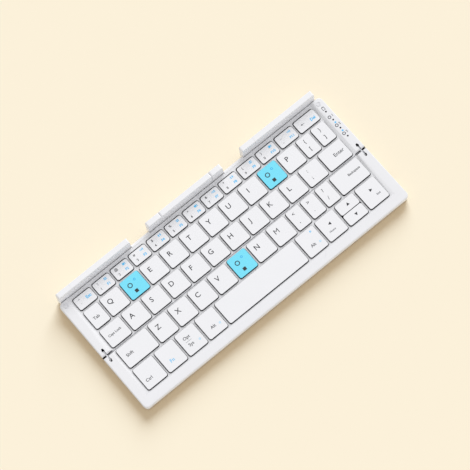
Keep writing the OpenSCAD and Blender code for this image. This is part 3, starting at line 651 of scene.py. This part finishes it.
def hand_out(tree, geometry, material, sink):
    """Makes copies real, gives them their material and sends them to the output."""
    real = add_node(tree, "GeometryNodeRealizeInstances", Geometry=geometry)
    dressed = add_node(tree, "GeometryNodeSetMaterial", Geometry=real.outputs["Geometry"], Material=material)
    feed(tree, sink["Geometry"], dressed.outputs["Geometry"])


def grow(carrier, tree, values):
    """Runs a tree on an object, with these values for its named inputs."""
    modifier = carrier.modifiers.new("shape", "NODES")
    modifier.node_group = tree
    for item in tree.interface.items_tree:
        if item.in_out == "INPUT" and item.name in values:
            modifier[item.identifier] = values[item.name]


# %% The cap tree
EDGE_STEPS = 3
UP = (0.0, 0.0, 1.0)
TOUCHING = 0.000001
CUT_BELOW = 0.0005


def rounded_block(tree, width, depth, corner, height):
    """The raised walls and roof of a block with round corners, standing on the origin, and its floor."""
    outline = add_node(tree, "GeometryNodeCurvePrimitiveQuadrilateral", Width=width, Height=depth)
    fillet = add_node(tree, "GeometryNodeFilletCurve", {"mode": "POLY"}, Curve=outline.outputs["Curve"],
                      Radius=corner, Count=6, Limit_Radius=True)
    filled = add_node(tree, "GeometryNodeFillCurve", {"mode": "NGONS"}, Curve=fillet.outputs["Curve"])
    raised = add_node(tree, "GeometryNodeExtrudeMesh", Mesh=filled.outputs["Mesh"], Offset=UP, Offset_Scale=height,
                      Individual=False)
    floor = add_node(tree, "GeometryNodeFlipFaces", Mesh=filled.outputs["Mesh"])
    return raised.outputs, floor.outputs["Mesh"]


def closed(tree, *parts):
    """Parts joined into one skin."""
    return add_node(tree, "GeometryNodeMergeByDistance", Geometry=joined(tree, *parts),
                    Distance=TOUCHING).outputs["Geometry"]


def build_cap_tree():
    tree, source, sink = add_group(
        "key_cap", "GeometryNodeTree",
        [("Width", "Float", 0.015), ("Depth", "Float", 0.015), ("Height", "Float", 0.0013),
         ("Corner", "Float", 0.0015), ("Edge", "Float", 0.0003), ("Wall", "Float", 0.0007),
         ("Roof", "Float", 0.0006), ("Plastic", "Material", None)],
        [("Geometry", "Geometry")])
    width, depth, edge = source["Width"], source["Depth"], source["Edge"]
    side_height = add_math(tree, "SUBTRACT", source["Height"], edge)
    raised, floor = rounded_block(tree, width, depth, source["Corner"], side_height)
    mesh, top = raised["Mesh"], raised["Top"]
    position = tree.nodes.new("GeometryNodeInputPosition").outputs["Position"]
    outward = add_math(tree, "SIGN", position, kind="ShaderNodeVectorMath")
    inward = add_math(tree, "MULTIPLY", outward, (-1.0, -1.0, 0.0), kind="ShaderNodeVectorMath")
    for step in range(1, EDGE_STEPS + 1):
        before = math.pi / 2 * (step - 1) / EDGE_STEPS
        after = math.pi / 2 * step / EDGE_STEPS
        rise = add_math(tree, "MULTIPLY", edge, math.sin(after) - math.sin(before))
        inset = add_math(tree, "MULTIPLY", edge, math.cos(before) - math.cos(after))
        stepped = add_node(tree, "GeometryNodeExtrudeMesh", Mesh=mesh, Selection=top, Offset=UP, Offset_Scale=rise,
                           Individual=False).outputs
        move = add_node(tree, "ShaderNodeVectorMath", {"operation": "SCALE"}, Vector=inward, Scale=inset)
        mesh = moved(tree, stepped["Mesh"], move.outputs["Vector"], Selection=stepped["Top"])
        top = stepped["Top"]
    wall_twice = add_math(tree, "MULTIPLY", source["Wall"], 2.0)
    hollow_height = add_math(tree, "SUBTRACT", source["Height"], source["Roof"])
    cut_raised, cut_floor = rounded_block(
        tree, add_math(tree, "SUBTRACT", width, wall_twice), add_math(tree, "SUBTRACT", depth, wall_twice),
        add_math(tree, "MULTIPLY", source["Corner"], 0.5), add_math(tree, "ADD", hollow_height, CUT_BELOW))
    cutter = moved(tree, closed(tree, cut_raised["Mesh"], cut_floor), (0.0, 0.0, -CUT_BELOW))
    hand_out(tree, cut_out(tree, closed(tree, mesh, floor), cutter), source["Plastic"], sink)
    return tree


CAP_TREE = build_cap_tree()
CAP_SIZES = {"Corner": 1.5 * MM, "Edge": 0.2 * MM, "Wall": 0.7 * MM, "Roof": 0.6 * MM}
print("cap tree:", len(CAP_TREE.nodes), "nodes")


# %% From tree to cap
def taken_from(helper):
    """The mesh that a helper object shows; the object goes."""
    mesh = shown_mesh(helper)
    bpy.data.objects.remove(helper)
    return mesh


def cap_mesh(low, high, material):
    """One cap that fills a key's box."""
    carrier = object_of("cap", bpy.data.meshes.new("cap"))
    grow(carrier, CAP_TREE, {"Width": high[0] - low[0], "Depth": high[1] - low[1], "Height": high[2] - low[2],
                             "Plastic": material, **CAP_SIZES})
    mesh = taken_from(carrier)
    mesh.transform(Matrix.Translation(((low[0] + high[0]) / 2, (low[1] + high[1]) / 2, low[2])))
    return mesh


def joined_mesh(name, meshes, materials):
    """One mesh from several, which keeps the material of each face."""
    result = bpy.data.meshes.new(name)
    with editing(result) as work:
        for mesh in meshes:
            index_of = [materials.index(m) if m in materials else 0 for m in mesh.materials] or [0]
            first = len(work.faces)
            work.from_mesh(mesh)
            work.faces.ensure_lookup_table()
            for face in work.faces[first:]:
                face.material_index = index_of[min(face.material_index, len(index_of) - 1)]
    for material in materials:
        result.materials.append(material)
    return result


# %% The caps
CYAN_KEYS = ("letter_w", "letter_o", "letter_b")
LETTER_NODES = sorted(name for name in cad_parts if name.startswith("letter_"))
GROUP_NODES = ["space_bar", "number_row_keys", "back_side_keys", "front_side_keys"]


def key_slot(node):
    return "cyan_keys" if node in CYAN_KEYS else "white_keys"


key_boxes = {}
for node in LETTER_NODES + GROUP_NODES:
    material, cap_side_shade = (cyan_plastic, cyan_skirt) if node in CYAN_KEYS else (key_plastic, key_skirt)
    key_boxes[node] = islands(node)
    mesh = joined_mesh(node + "_cap", [cap_mesh(low, high, material) for low, high in key_boxes[node]], [material])
    mesh.materials.append(cap_side_shade)
    # Painted shade: the sides of every cap get the dark finish.
    finish_faces(mesh, 1, lambda polygon: abs(polygon.normal.z) < 0.75)
    shade_by_angle(mesh, 50.0)
    piece = object_of(node + "_cap", mesh)
    level_normals(piece)
    seat(piece, node, key_slot(node), node)
print("caps:", sum(len(boxes) for boxes in key_boxes.values()))

# %% [markdown]
# ## What gives way under a pressed key
# Under each cap a rubber dome collapses and a scissor lift folds flat. In the frame the domes are one sheet and the
# lifts one group. Left whole, they would cut through a cap that goes down. Here their faces are sorted by the cap
# above them, and what stands under one key's caps becomes a piece of its own.

# %% Sorting faces by the key above them
def key_above(point):
    """The key node that has a cap over this point."""
    for node, boxes in key_boxes.items():
        for low, high in boxes:
            if low[0] < point.x < high[0] and low[1] < point.y < high[1]:
                return node
    return None


def mesh_of_faces(name, faces):
    """A mesh from faces given as corner lists: equal corners are joined and open rims closed."""
    mesh = bpy.data.meshes.new(name)
    with editing(mesh) as work:
        for corners in faces:
            work.faces.new([work.verts.new(corner) for corner in corners])
        bmesh.ops.remove_doubles(work, verts=work.verts, dist=SAME_POINT)
        rims = [edge for edge in work.edges if len(edge.link_faces) == 1]
        bmesh.ops.holes_fill(work, edges=rims, sides=0)
        bmesh.ops.recalc_face_normals(work, faces=work.faces)
    return mesh


def sort_faces(node, above):
    """The faces of a node, under None those up to a height and under each key those that rise above it."""
    found = {}
    mesh = merged_copy(node)
    for polygon in mesh.polygons:
        corners = [mesh.vertices[index].co.copy() for index in polygon.vertices]
        rises = max(corner.z for corner in corners) > above
        found.setdefault(key_above(polygon.center) if rises else None, []).append(corners)
    return found


# %% Domes and lifts
SHEET_THICKNESS = 0.1 * MM


def add_yielding(kind, key, faces, body, material, material_slot):
    """A piece under one key, made of the faces that stand under it."""
    name = key + kind
    piece = object_of(name, mesh_of_faces(name, faces), [material])
    shade_by_angle(piece.data)
    seat(piece, body, material_slot)
    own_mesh(piece)
    return piece


for half, body in HALVES:
    sheet_node = half + "_dome_sheet"
    base_name = half + "_dome_base"
    sheet_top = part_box(sheet_node)[0][2] + SHEET_THICKNESS
    domes = sort_faces(sheet_node, sheet_top + 0.01 * MM)
    seat(object_of(base_name, mesh_of_faces(base_name, domes.pop(None)), [dome_rubber]), body, "dome_rubber",
         sheet_node)
    for key, faces in domes.items():
        add_yielding("_domes", key, faces, body, dome_rubber, "dome_rubber")
    lifts = [add_yielding("_lifts", key, faces, body, lift_plastic, "lift_plastic")
             for key, faces in sort_faces(half + "_scissor_lifts", 0.0).items()]
    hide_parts(half + "_scissor_lifts")
    print(half, "keys with domes:", len(domes), "with lifts:", len(lifts))

# %% [markdown]
# ## Legends
# Key legends are pad printed: flat ink, a hundredth of a millimetre thick. A texture would need a picture of every
# word; Blender's own typeface, turned into a mesh and laid just above the cap, stays sharp at any distance and is
# plain enough for any keyboard. The three cyan keys carry plain marks, a ring and a square, where other keys have
# a letter. All sizes of marks are in millimetres.

# %% Helpers for printed marks
INK_LIFT = 0.012 * MM
CAPITAL_SHARE = 0.70


def text_mesh(words, height, bold):
    """Flat words by the height of their capitals, centred; bold widens the strokes."""
    curve = bpy.data.curves.new("words", "FONT")
    curve.body = words
    curve.size = height * MM / CAPITAL_SHARE
    curve.offset = bold * MM
    curve.align_x = "CENTER"
    curve.align_y = "CENTER"
    curve.resolution_u = 4
    curve.fill_mode = "FRONT"
    return taken_from(object_of("words", curve))


def flat_mesh(*loops):
    """Flat faces, each a list of (x, y)."""
    mesh = bpy.data.meshes.new("mark")
    with editing(mesh) as work:
        for loop in loops:
            work.faces.new([work.verts.new((x * MM, y * MM, 0.0)) for x, y in loop])
    return mesh


def ring(radius, line, steps=28):
    """A ring of four-sided faces around the middle of a line."""
    turns = [2 * math.pi * step / steps for step in range(steps + 1)]
    outer = [(radius * math.cos(turn), radius * math.sin(turn)) for turn in turns]
    inner = [((radius - line) * math.cos(turn), (radius - line) * math.sin(turn)) for turn in turns]
    return flat_mesh(*zip(outer, outer[1:], inner[1:], inner))


def bar(width, height, x=0.0, y=0.0):
    """The corners of an upright rectangle round a middle point."""
    return [(x - width / 2, y - height / 2), (x + width / 2, y - height / 2),
            (x + width / 2, y + height / 2), (x - width / 2, y + height / 2)]


def arrow(size, degrees):
    """A filled triangle that points along degrees."""
    cos, sin = math.cos(math.radians(degrees)), math.sin(math.radians(degrees))
    points = ((0.6, 0.0), (-0.4, 0.55), (-0.4, -0.55))
    return flat_mesh([(size * (x * cos - y * sin), size * (x * sin + y * cos)) for x, y in points])


# %% A sheet of printed marks
class InkSheet:
    """Collects the printed marks of one body, then makes them one piece."""

    def __init__(self, name, body, material_slot, height=KEY_TOP):
        self.name = name
        self.body = body
        self.height = height
        self.material_slot = material_slot
        self.marks = []

    def add(self, mesh, x, y, ink):
        """Lays a mark down with its middle at a place in the frame."""
        mesh.transform(Matrix.Translation((x, y, self.height + INK_LIFT)))
        mesh.materials.clear()
        mesh.materials.append(ink)
        self.marks.append(mesh)

    def print_on(self, box, *entries, ink=ink_dark, bold=0.04):
        """Entries: (mark, from left, from front) or (words, from left, from front, height of the capitals).
        A distance below zero counts from the right or the back edge of the cap."""
        for mark, *places in entries:
            x, y = [box[distance < 0][axis] + distance * MM for axis, distance in enumerate(places[:2])]
            self.add(text_mesh(mark, places[2], bold) if isinstance(mark, str) else mark, x, y, ink)

    def finish(self):
        inks = []
        for mesh in self.marks:
            if mesh.materials[0] not in inks:
                inks.append(mesh.materials[0])
        piece = object_of(self.name, joined_mesh(self.name, self.marks, inks))
        seat(piece, self.body, self.material_slot)
        print(self.name, "marks", len(self.marks))


# %% Letters
LETTER_PLACE = (5.1, -5.9)
LETTER_HEIGHT = 3.6
LETTER_BOLD = 0.05
for node in LETTER_NODES:
    box = key_boxes[node][0]
    sheet = InkSheet(node + "_legend", node, key_slot(node), box[1][2])
    letter = node[-1].upper()
    if node in CYAN_KEYS:
        sheet.print_on(box, (ring(1.8, 0.6), *LETTER_PLACE), (flat_mesh(bar(2.4, 2.4)), 6.5, 3.9))
        sheet.print_on(box, (ring(0.9, 0.4), -5.2, -4.1), ink=ink_ocean)
    else:
        sheet.print_on(box, (letter, *LETTER_PLACE, LETTER_HEIGHT), bold=0.0 if letter == "M" else LETTER_BOLD)
    sheet.finish()

# %% [markdown]
# The number row prints four small marks on each cap: the digit and its shifted sign in dark ink on the left, the
# function number and a small blue sign on the right. Thirteen caps could be lettered one by one; a loop lays the
# marks out from each cap's own box.

# %% Number row
SIGNS = "~!@#$%^&*()_"
DIGITS = "`1234567890-"
SMALL = 1.75
BOLD = 0.1
BLUE_SIGNS = (
    [bar(0.7, 1.7, -0.7), bar(0.7, 1.7, 0.7)],
    [bar(2.1, 0.6, 0.0, 0.5), bar(2.1, 0.6, 0.0, -0.5)],
    [bar(1.6, 1.6), bar(0.5, 1.6, 1.3)],
    [bar(0.6, 0.7, -1.0), bar(0.6, 1.2), bar(0.6, 1.7, 1.0)],
)
numbers = InkSheet("number_row_legend", "number_row_keys", "white_keys")
LEFT, RIGHT, UPPER, LOWER = 3.6, -3.9, -2.3, 2.9
for index, box in enumerate(key_boxes["number_row_keys"]):
    if index < len(DIGITS):
        numbers.print_on(box, (SIGNS[index], LEFT, UPPER, SMALL), (DIGITS[index], LEFT, LOWER, SMALL))
    if index == 0:
        middle = (box[1][1] - box[0][1]) / MM / 2 + 0.3
        numbers.print_on(box, ("Esc", RIGHT - 0.3, middle, 2.2), ink=ink_blue, bold=BOLD)
    elif index == len(DIGITS):
        numbers.print_on(box, (flat_mesh(bar(2.6, 0.3)), 5.0, 4.7), (arrow(1.2, 180.0), 4.2, 4.7), ink=ink_grey)
        numbers.print_on(box, ("Del", RIGHT - 0.2, LOWER + 0.7, 2.0), ink=ink_blue, bold=BOLD)
    else:
        sign = flat_mesh(*BLUE_SIGNS[index % len(BLUE_SIGNS)])
        numbers.print_on(box, (sign, RIGHT, UPPER), ("F%d" % index, RIGHT, LOWER, SMALL), ink=ink_blue, bold=0.09)
numbers.finish()

# %% [markdown]
# The outer keys carry words. One list of all places would be hard to read against a real keyboard, so each cap gets
# a name first, and then its words, with the distances that a rule would show on the cap.

# %% Outer keys of the back half
WORD = 2.2
SIGN = 2.6
FINE = 1.7


def rows_of(caps):
    """The boxes of caps, row by row from the front, each row from the left."""
    rows = {}
    for low, high in caps:
        rows.setdefault(round(low[1] / (2 * MM)), []).append((low, high))
    return [rows[key] for key in sorted(rows)]


back_words = InkSheet("back_side_legend", "back_side_keys", "white_keys")
(caps_lock, colon, enter), (tab, open_bracket, close_bracket) = rows_of(key_boxes["back_side_keys"])
back_words.print_on(caps_lock, ("Caps Lock", 7.9, 7.9, FINE))
back_words.print_on(colon, (":", 5.2, 11.0, SIGN), (";", 5.2, 5.2, SIGN))
back_words.print_on(enter, ("Enter", 12.6, 7.4, SIGN))
back_words.print_on(tab, ("Tab", 5.2, 7.0, WORD))
back_words.print_on(open_bracket, ("{", 5.1, 11.3, SIGN), ("[", 5.1, 5.1, SIGN))
back_words.print_on(close_bracket, ("}", 5.2, 11.3, SIGN), ("]", 5.2, 5.1, SIGN))
back_words.finish()

# %% Outer keys of the front half
front_words = InkSheet("front_side_legend", "front_side_keys", "white_keys")
space_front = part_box("space_bar")[0][1]
letters_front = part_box("letter_z")[0][1]
front_caps = key_boxes["front_side_keys"]
shift_row = [box for box in front_caps if abs(box[0][1] - letters_front) < 1 * MM]
bottom_row = [box for box in front_caps if abs(box[0][1] - space_front) < 1 * MM]
up_cap = [box for box in front_caps if box not in shift_row and box not in bottom_row][0]
ctrl, fn, option, left_alt, right_alt, left_cap, down_cap, right_cap = bottom_row
front_words.print_on(shift_row[0], ("Shift", 6.3, 8.1, WORD))
for box, upper, lower in zip(shift_row[1:4], "<>?", ",./"):
    front_words.print_on(box, (upper, 4.2, 11.9, SIGN), (lower, 4.2, 5.4, SIGN))
front_words.print_on(shift_row[4], ("Backspace", 16.4, 8.9, FINE))
front_words.print_on(ctrl, ("Ctrl", 5.2, 5.9, WORD))
front_words.print_on(fn, ("Fn", 6.7, 5.9, 2.5), ink=ink_blue)
front_words.print_on(option, ("Opt", 6.0, 11.8, WORD), ("Sys", 6.0, 6.4, WORD))
front_words.print_on(option, (flat_mesh(bar(4.6, 0.2)), 6.0, 9.1), ink=ink_grey)
for box in (left_alt, right_alt):
    front_words.print_on(box, ("Alt", 7.2, 6.2, WORD))
for box in (option, left_alt, right_alt):
    front_words.print_on(box, (ring(0.8, 0.5), -3.0, 5.5), ink=ink_pale)
front_words.print_on(right_alt, (ring(0.7, 0.4), -3.9, -2.9), ink=ink_blue)
for box, from_left, from_front, degrees in ((left_cap, 7.8, 10.7, 180.0), (right_cap, 8.8, 11.0, 0.0),
                                            (down_cap, 8.5, 4.4, 270.0), (up_cap, 8.5, 4.4, 90.0)):
    front_words.print_on(box, (arrow(2.2, degrees), from_left, from_front))
front_words.print_on(left_cap, ("Home", 6.4, 5.8, 1.4), ink=ink_grey)
front_words.print_on(right_cap, ("End", 11.5, 5.8, 1.4), ink=ink_grey)
front_words.finish()

# %% [markdown]
# ## Signs beside the lights
# The right rim carries four tiny dark lamps. Beside them are a battery outline and three rings with the numbers
# of the devices that the keyboard can talk to. Their places could be typed in; they are counted from the lamps
# instead, so that sign and lamp stay together.

# %% Rim signs
RING_RADIUS = 1.25
LINE = 0.35
rim_marks = InkSheet("rim_signs", BACK, "case", RIM_TOP)
lamps = sorted(islands("status_lights"), key=lambda box: box[0].y)
lamp_x = (lamps[0][0].x + lamps[0][1].x) / 2
for number, (low, high) in enumerate(lamps, start=1):
    y = (low.y + high.y) / 2
    if number < len(lamps):
        sign_y = y + 2.9 * MM
        rim_marks.add(ring(RING_RADIUS, 0.55), lamp_x - 0.8 * MM, sign_y, ink_grey)
        if number > 1:
            rim_marks.add(flat_mesh(bar(1.2, 1.2)), lamp_x - 0.1 * MM, y - 2.4 * MM, ink_blue)
        rim_marks.add(text_mesh(str(len(lamps) - number), 1.8, 0.04), lamp_x + 1.7 * MM, sign_y, ink_grey)
    else:
        battery_sign = flat_mesh(bar(1.8, LINE, 0, 1.1), bar(1.8, LINE, 0, -1.1), bar(LINE, 2.5, -0.85),
                                 bar(LINE, 2.5, 0.85), bar(0.8, LINE, 0, 1.5))
        rim_marks.add(battery_sign, lamp_x, y + 2.7 * MM, ink_grey)
rim_marks.finish()

# %% [markdown]
# ## Screws from one node tree
# Small cross-head screws hold the shells from below. All are the same form: a head with a cross cut into it, and a
# shank. Eight copies could be placed by hand; a tree makes one screw, puts it on every point of a small mesh, and
# realizes the copies.

# %% The screw tree
def build_screw_tree():
    tree, source, sink = add_group(
        "cross_head_screw", "GeometryNodeTree",
        [("Points", "Geometry", None), ("Head Radius", "Float", 0.0013), ("Head Height", "Float", 0.0005),
         ("Shank Radius", "Float", 0.00065), ("Shank Length", "Float", 0.004), ("Metal", "Material", None)],
        [("Geometry", "Geometry")])
    radius, head_height, shank_length = source["Head Radius"], source["Head Height"], source["Shank Length"]
    head = add_node(tree, "GeometryNodeMeshCylinder", Vertices=32, Radius=radius, Depth=head_height)
    long_arm = add_math(tree, "MULTIPLY", radius, 1.3)
    short_arm = add_math(tree, "MULTIPLY", radius, 0.26)
    cut_depth = add_math(tree, "MULTIPLY", head_height, 0.9)
    to_face = add_node(tree, "ShaderNodeCombineXYZ", Z=add_math(tree, "MULTIPLY", head_height, -0.5))
    cutters = []
    for across, along in ((long_arm, short_arm), (short_arm, long_arm)):
        size = add_node(tree, "ShaderNodeCombineXYZ", X=across, Y=along, Z=cut_depth)
        arm = add_node(tree, "GeometryNodeMeshCube", Size=size.outputs["Vector"])
        cutters.append(moved(tree, arm.outputs["Mesh"], to_face.outputs["Vector"]))
    cross = cut_out(tree, head.outputs["Mesh"], *cutters)
    shank = add_node(tree, "GeometryNodeMeshCylinder", Vertices=24, Radius=source["Shank Radius"],
                     Depth=shank_length)
    both = add_math(tree, "ADD", shank_length, head_height)
    shank_up = add_node(tree, "ShaderNodeCombineXYZ", Z=add_math(tree, "MULTIPLY", both, 0.5))
    screw = joined(tree, cross, moved(tree, shank.outputs["Mesh"], shank_up.outputs["Vector"]))
    copies = add_node(tree, "GeometryNodeInstanceOnPoints", Points=source["Points"], Instance=screw)
    hand_out(tree, copies.outputs["Instances"], source["Metal"], sink)
    return tree


SCREW_TREE = build_screw_tree()
print("screw tree:", len(SCREW_TREE.nodes), "nodes")

# %% The screws
HEAD_HEIGHT = 0.5 * MM
for half, body in HALVES:
    node = half + "_screws"
    name = node + "_cross"
    boxes = islands(node)
    points = [((low.x + high.x) / 2, (low.y + high.y) / 2, low.z + HEAD_HEIGHT / 2) for low, high in boxes]
    mesh = bpy.data.meshes.new(name)
    mesh.from_pydata(points, [], [])
    piece = object_of(name, mesh)
    grow(piece, SCREW_TREE, {"Shank Length": boxes[0][1].z - boxes[0][0].z - HEAD_HEIGHT,
                             "Head Height": HEAD_HEIGHT, "Metal": pin_steel})
    apply_modifiers(piece)
    shade_by_angle(piece.data, 35.0)
    seat(piece, body, "screw", node)
    print(piece.name, "screws", len(points))

# %% [markdown]
# ## Floor and light
# The keyboard lies on a seamless warm cream surface. An even sky, a big soft light from the back right and a faint
# fill from the front reach the plastic; all are neutral, so that white stays white, and the fill keeps the front
# faces of the guards pale. The photograph's shadow is deeper and browner than such a light gives, as if the paper
# drank in the blue. Tinted lamps could do that, but they would stain the white plastic, too. So a second sun from
# the same place is linked to the floor alone. It is cooler and stronger, and the paper is tan: where that sun
# shines, the two make cream, and in the shadow the tan shows. The floor isn't part of the object, so it is staged.

# %% Floor
FLOOR_CREAM = srgb(252, 241, 218)
FLOOR_IN_SHADOW = (0.53, 0.47, 0.395)
FLOOR_HALF = 6.0
SKY_SHARE = 0.64
FILL_SHARE = 0.055
WINDOW_SHARE = 1.0 - SKY_SHARE - FILL_SHARE


def add_floor():
    """Tan matt paper: under the sky alone it shows this share of the cream that it has under sky and sun."""
    tan = [cream * share / SKY_SHARE for cream, share in zip(FLOOR_CREAM, FLOOR_IN_SHADOW)] + [1.0]
    material, _, shader, _ = start_material("floor_paper", tan, 0.9, Grain_Scale=900.0, Cloudiness=0.006)
    shader["Specular IOR Level"].default_value = 0.0
    mesh = bpy.data.meshes.new("floor")
    corners = [(x * FLOOR_HALF, y * FLOOR_HALF, 0) for x, y in ((-1, -1), (1, -1), (1, 1), (-1, 1))]
    mesh.from_pydata(corners, [], [(0, 1, 2, 3)])
    floor = object_of("floor", mesh, [material])
    return floor


floor = add_floor()
print("floor:", 2 * FLOOR_HALF, "m wide")


# %% Lights
def add_sun(name, azimuth, elevation, share, spread):
    """A sun from azimuth, counted from +Y towards +X, whose share (RGB) is what it adds to a white level face."""
    data = bpy.data.lights.new(name, "SUN")
    strength = max(share)
    data.energy = strength * math.pi / math.sin(math.radians(elevation))
    data.color = [value / strength for value in share]
    data.angle = math.radians(spread)
    sun = object_of(name, data)
    to_light = -looking(math.radians(azimuth + 180.0), math.radians(elevation))
    sun.rotation_euler = to_light.to_track_quat("Z", "Y").to_euler()
    return sun


def add_sky(share):
    world = bpy.data.worlds.new("studio")
    world.use_nodes = True
    background = world.node_tree.nodes["Background"]
    background.inputs["Color"].default_value = (1.0, 1.0, 1.0, 1.0)
    background.inputs["Strength"].default_value = share
    bpy.context.scene.world = world


def link_lights(floor, floor_suns, object_suns):
    """The floor's suns light only the floor, the object's suns all but the floor."""
    for name, suns, state in (("floor_only", floor_suns, "INCLUDE"), ("not_floor", object_suns, "EXCLUDE")):
        receivers = bpy.data.collections.new(name)
        receivers.objects.link(floor)
        receivers.collection_objects[0].light_linking.link_state = state
        for sun in suns:
            sun.light_linking.receiver_collection = receivers


floor_share = [SKY_SHARE * (1.0 / share - 1.0) for share in FLOOR_IN_SHADOW]
floor_sun = add_sun("floor_light", 44.0, 31.0, floor_share, 42.0)
window = add_sun("window_light", 48.0, 40.0, [WINDOW_SHARE] * 3, 40.0)
fill = add_sun("front_fill", 152.0, 25.0, [FILL_SHARE] * 3, 40.0)
link_lights(floor, [floor_sun], [window, fill])
add_sky(SKY_SHARE)
bpy.context.scene.view_settings.view_transform = "Standard"
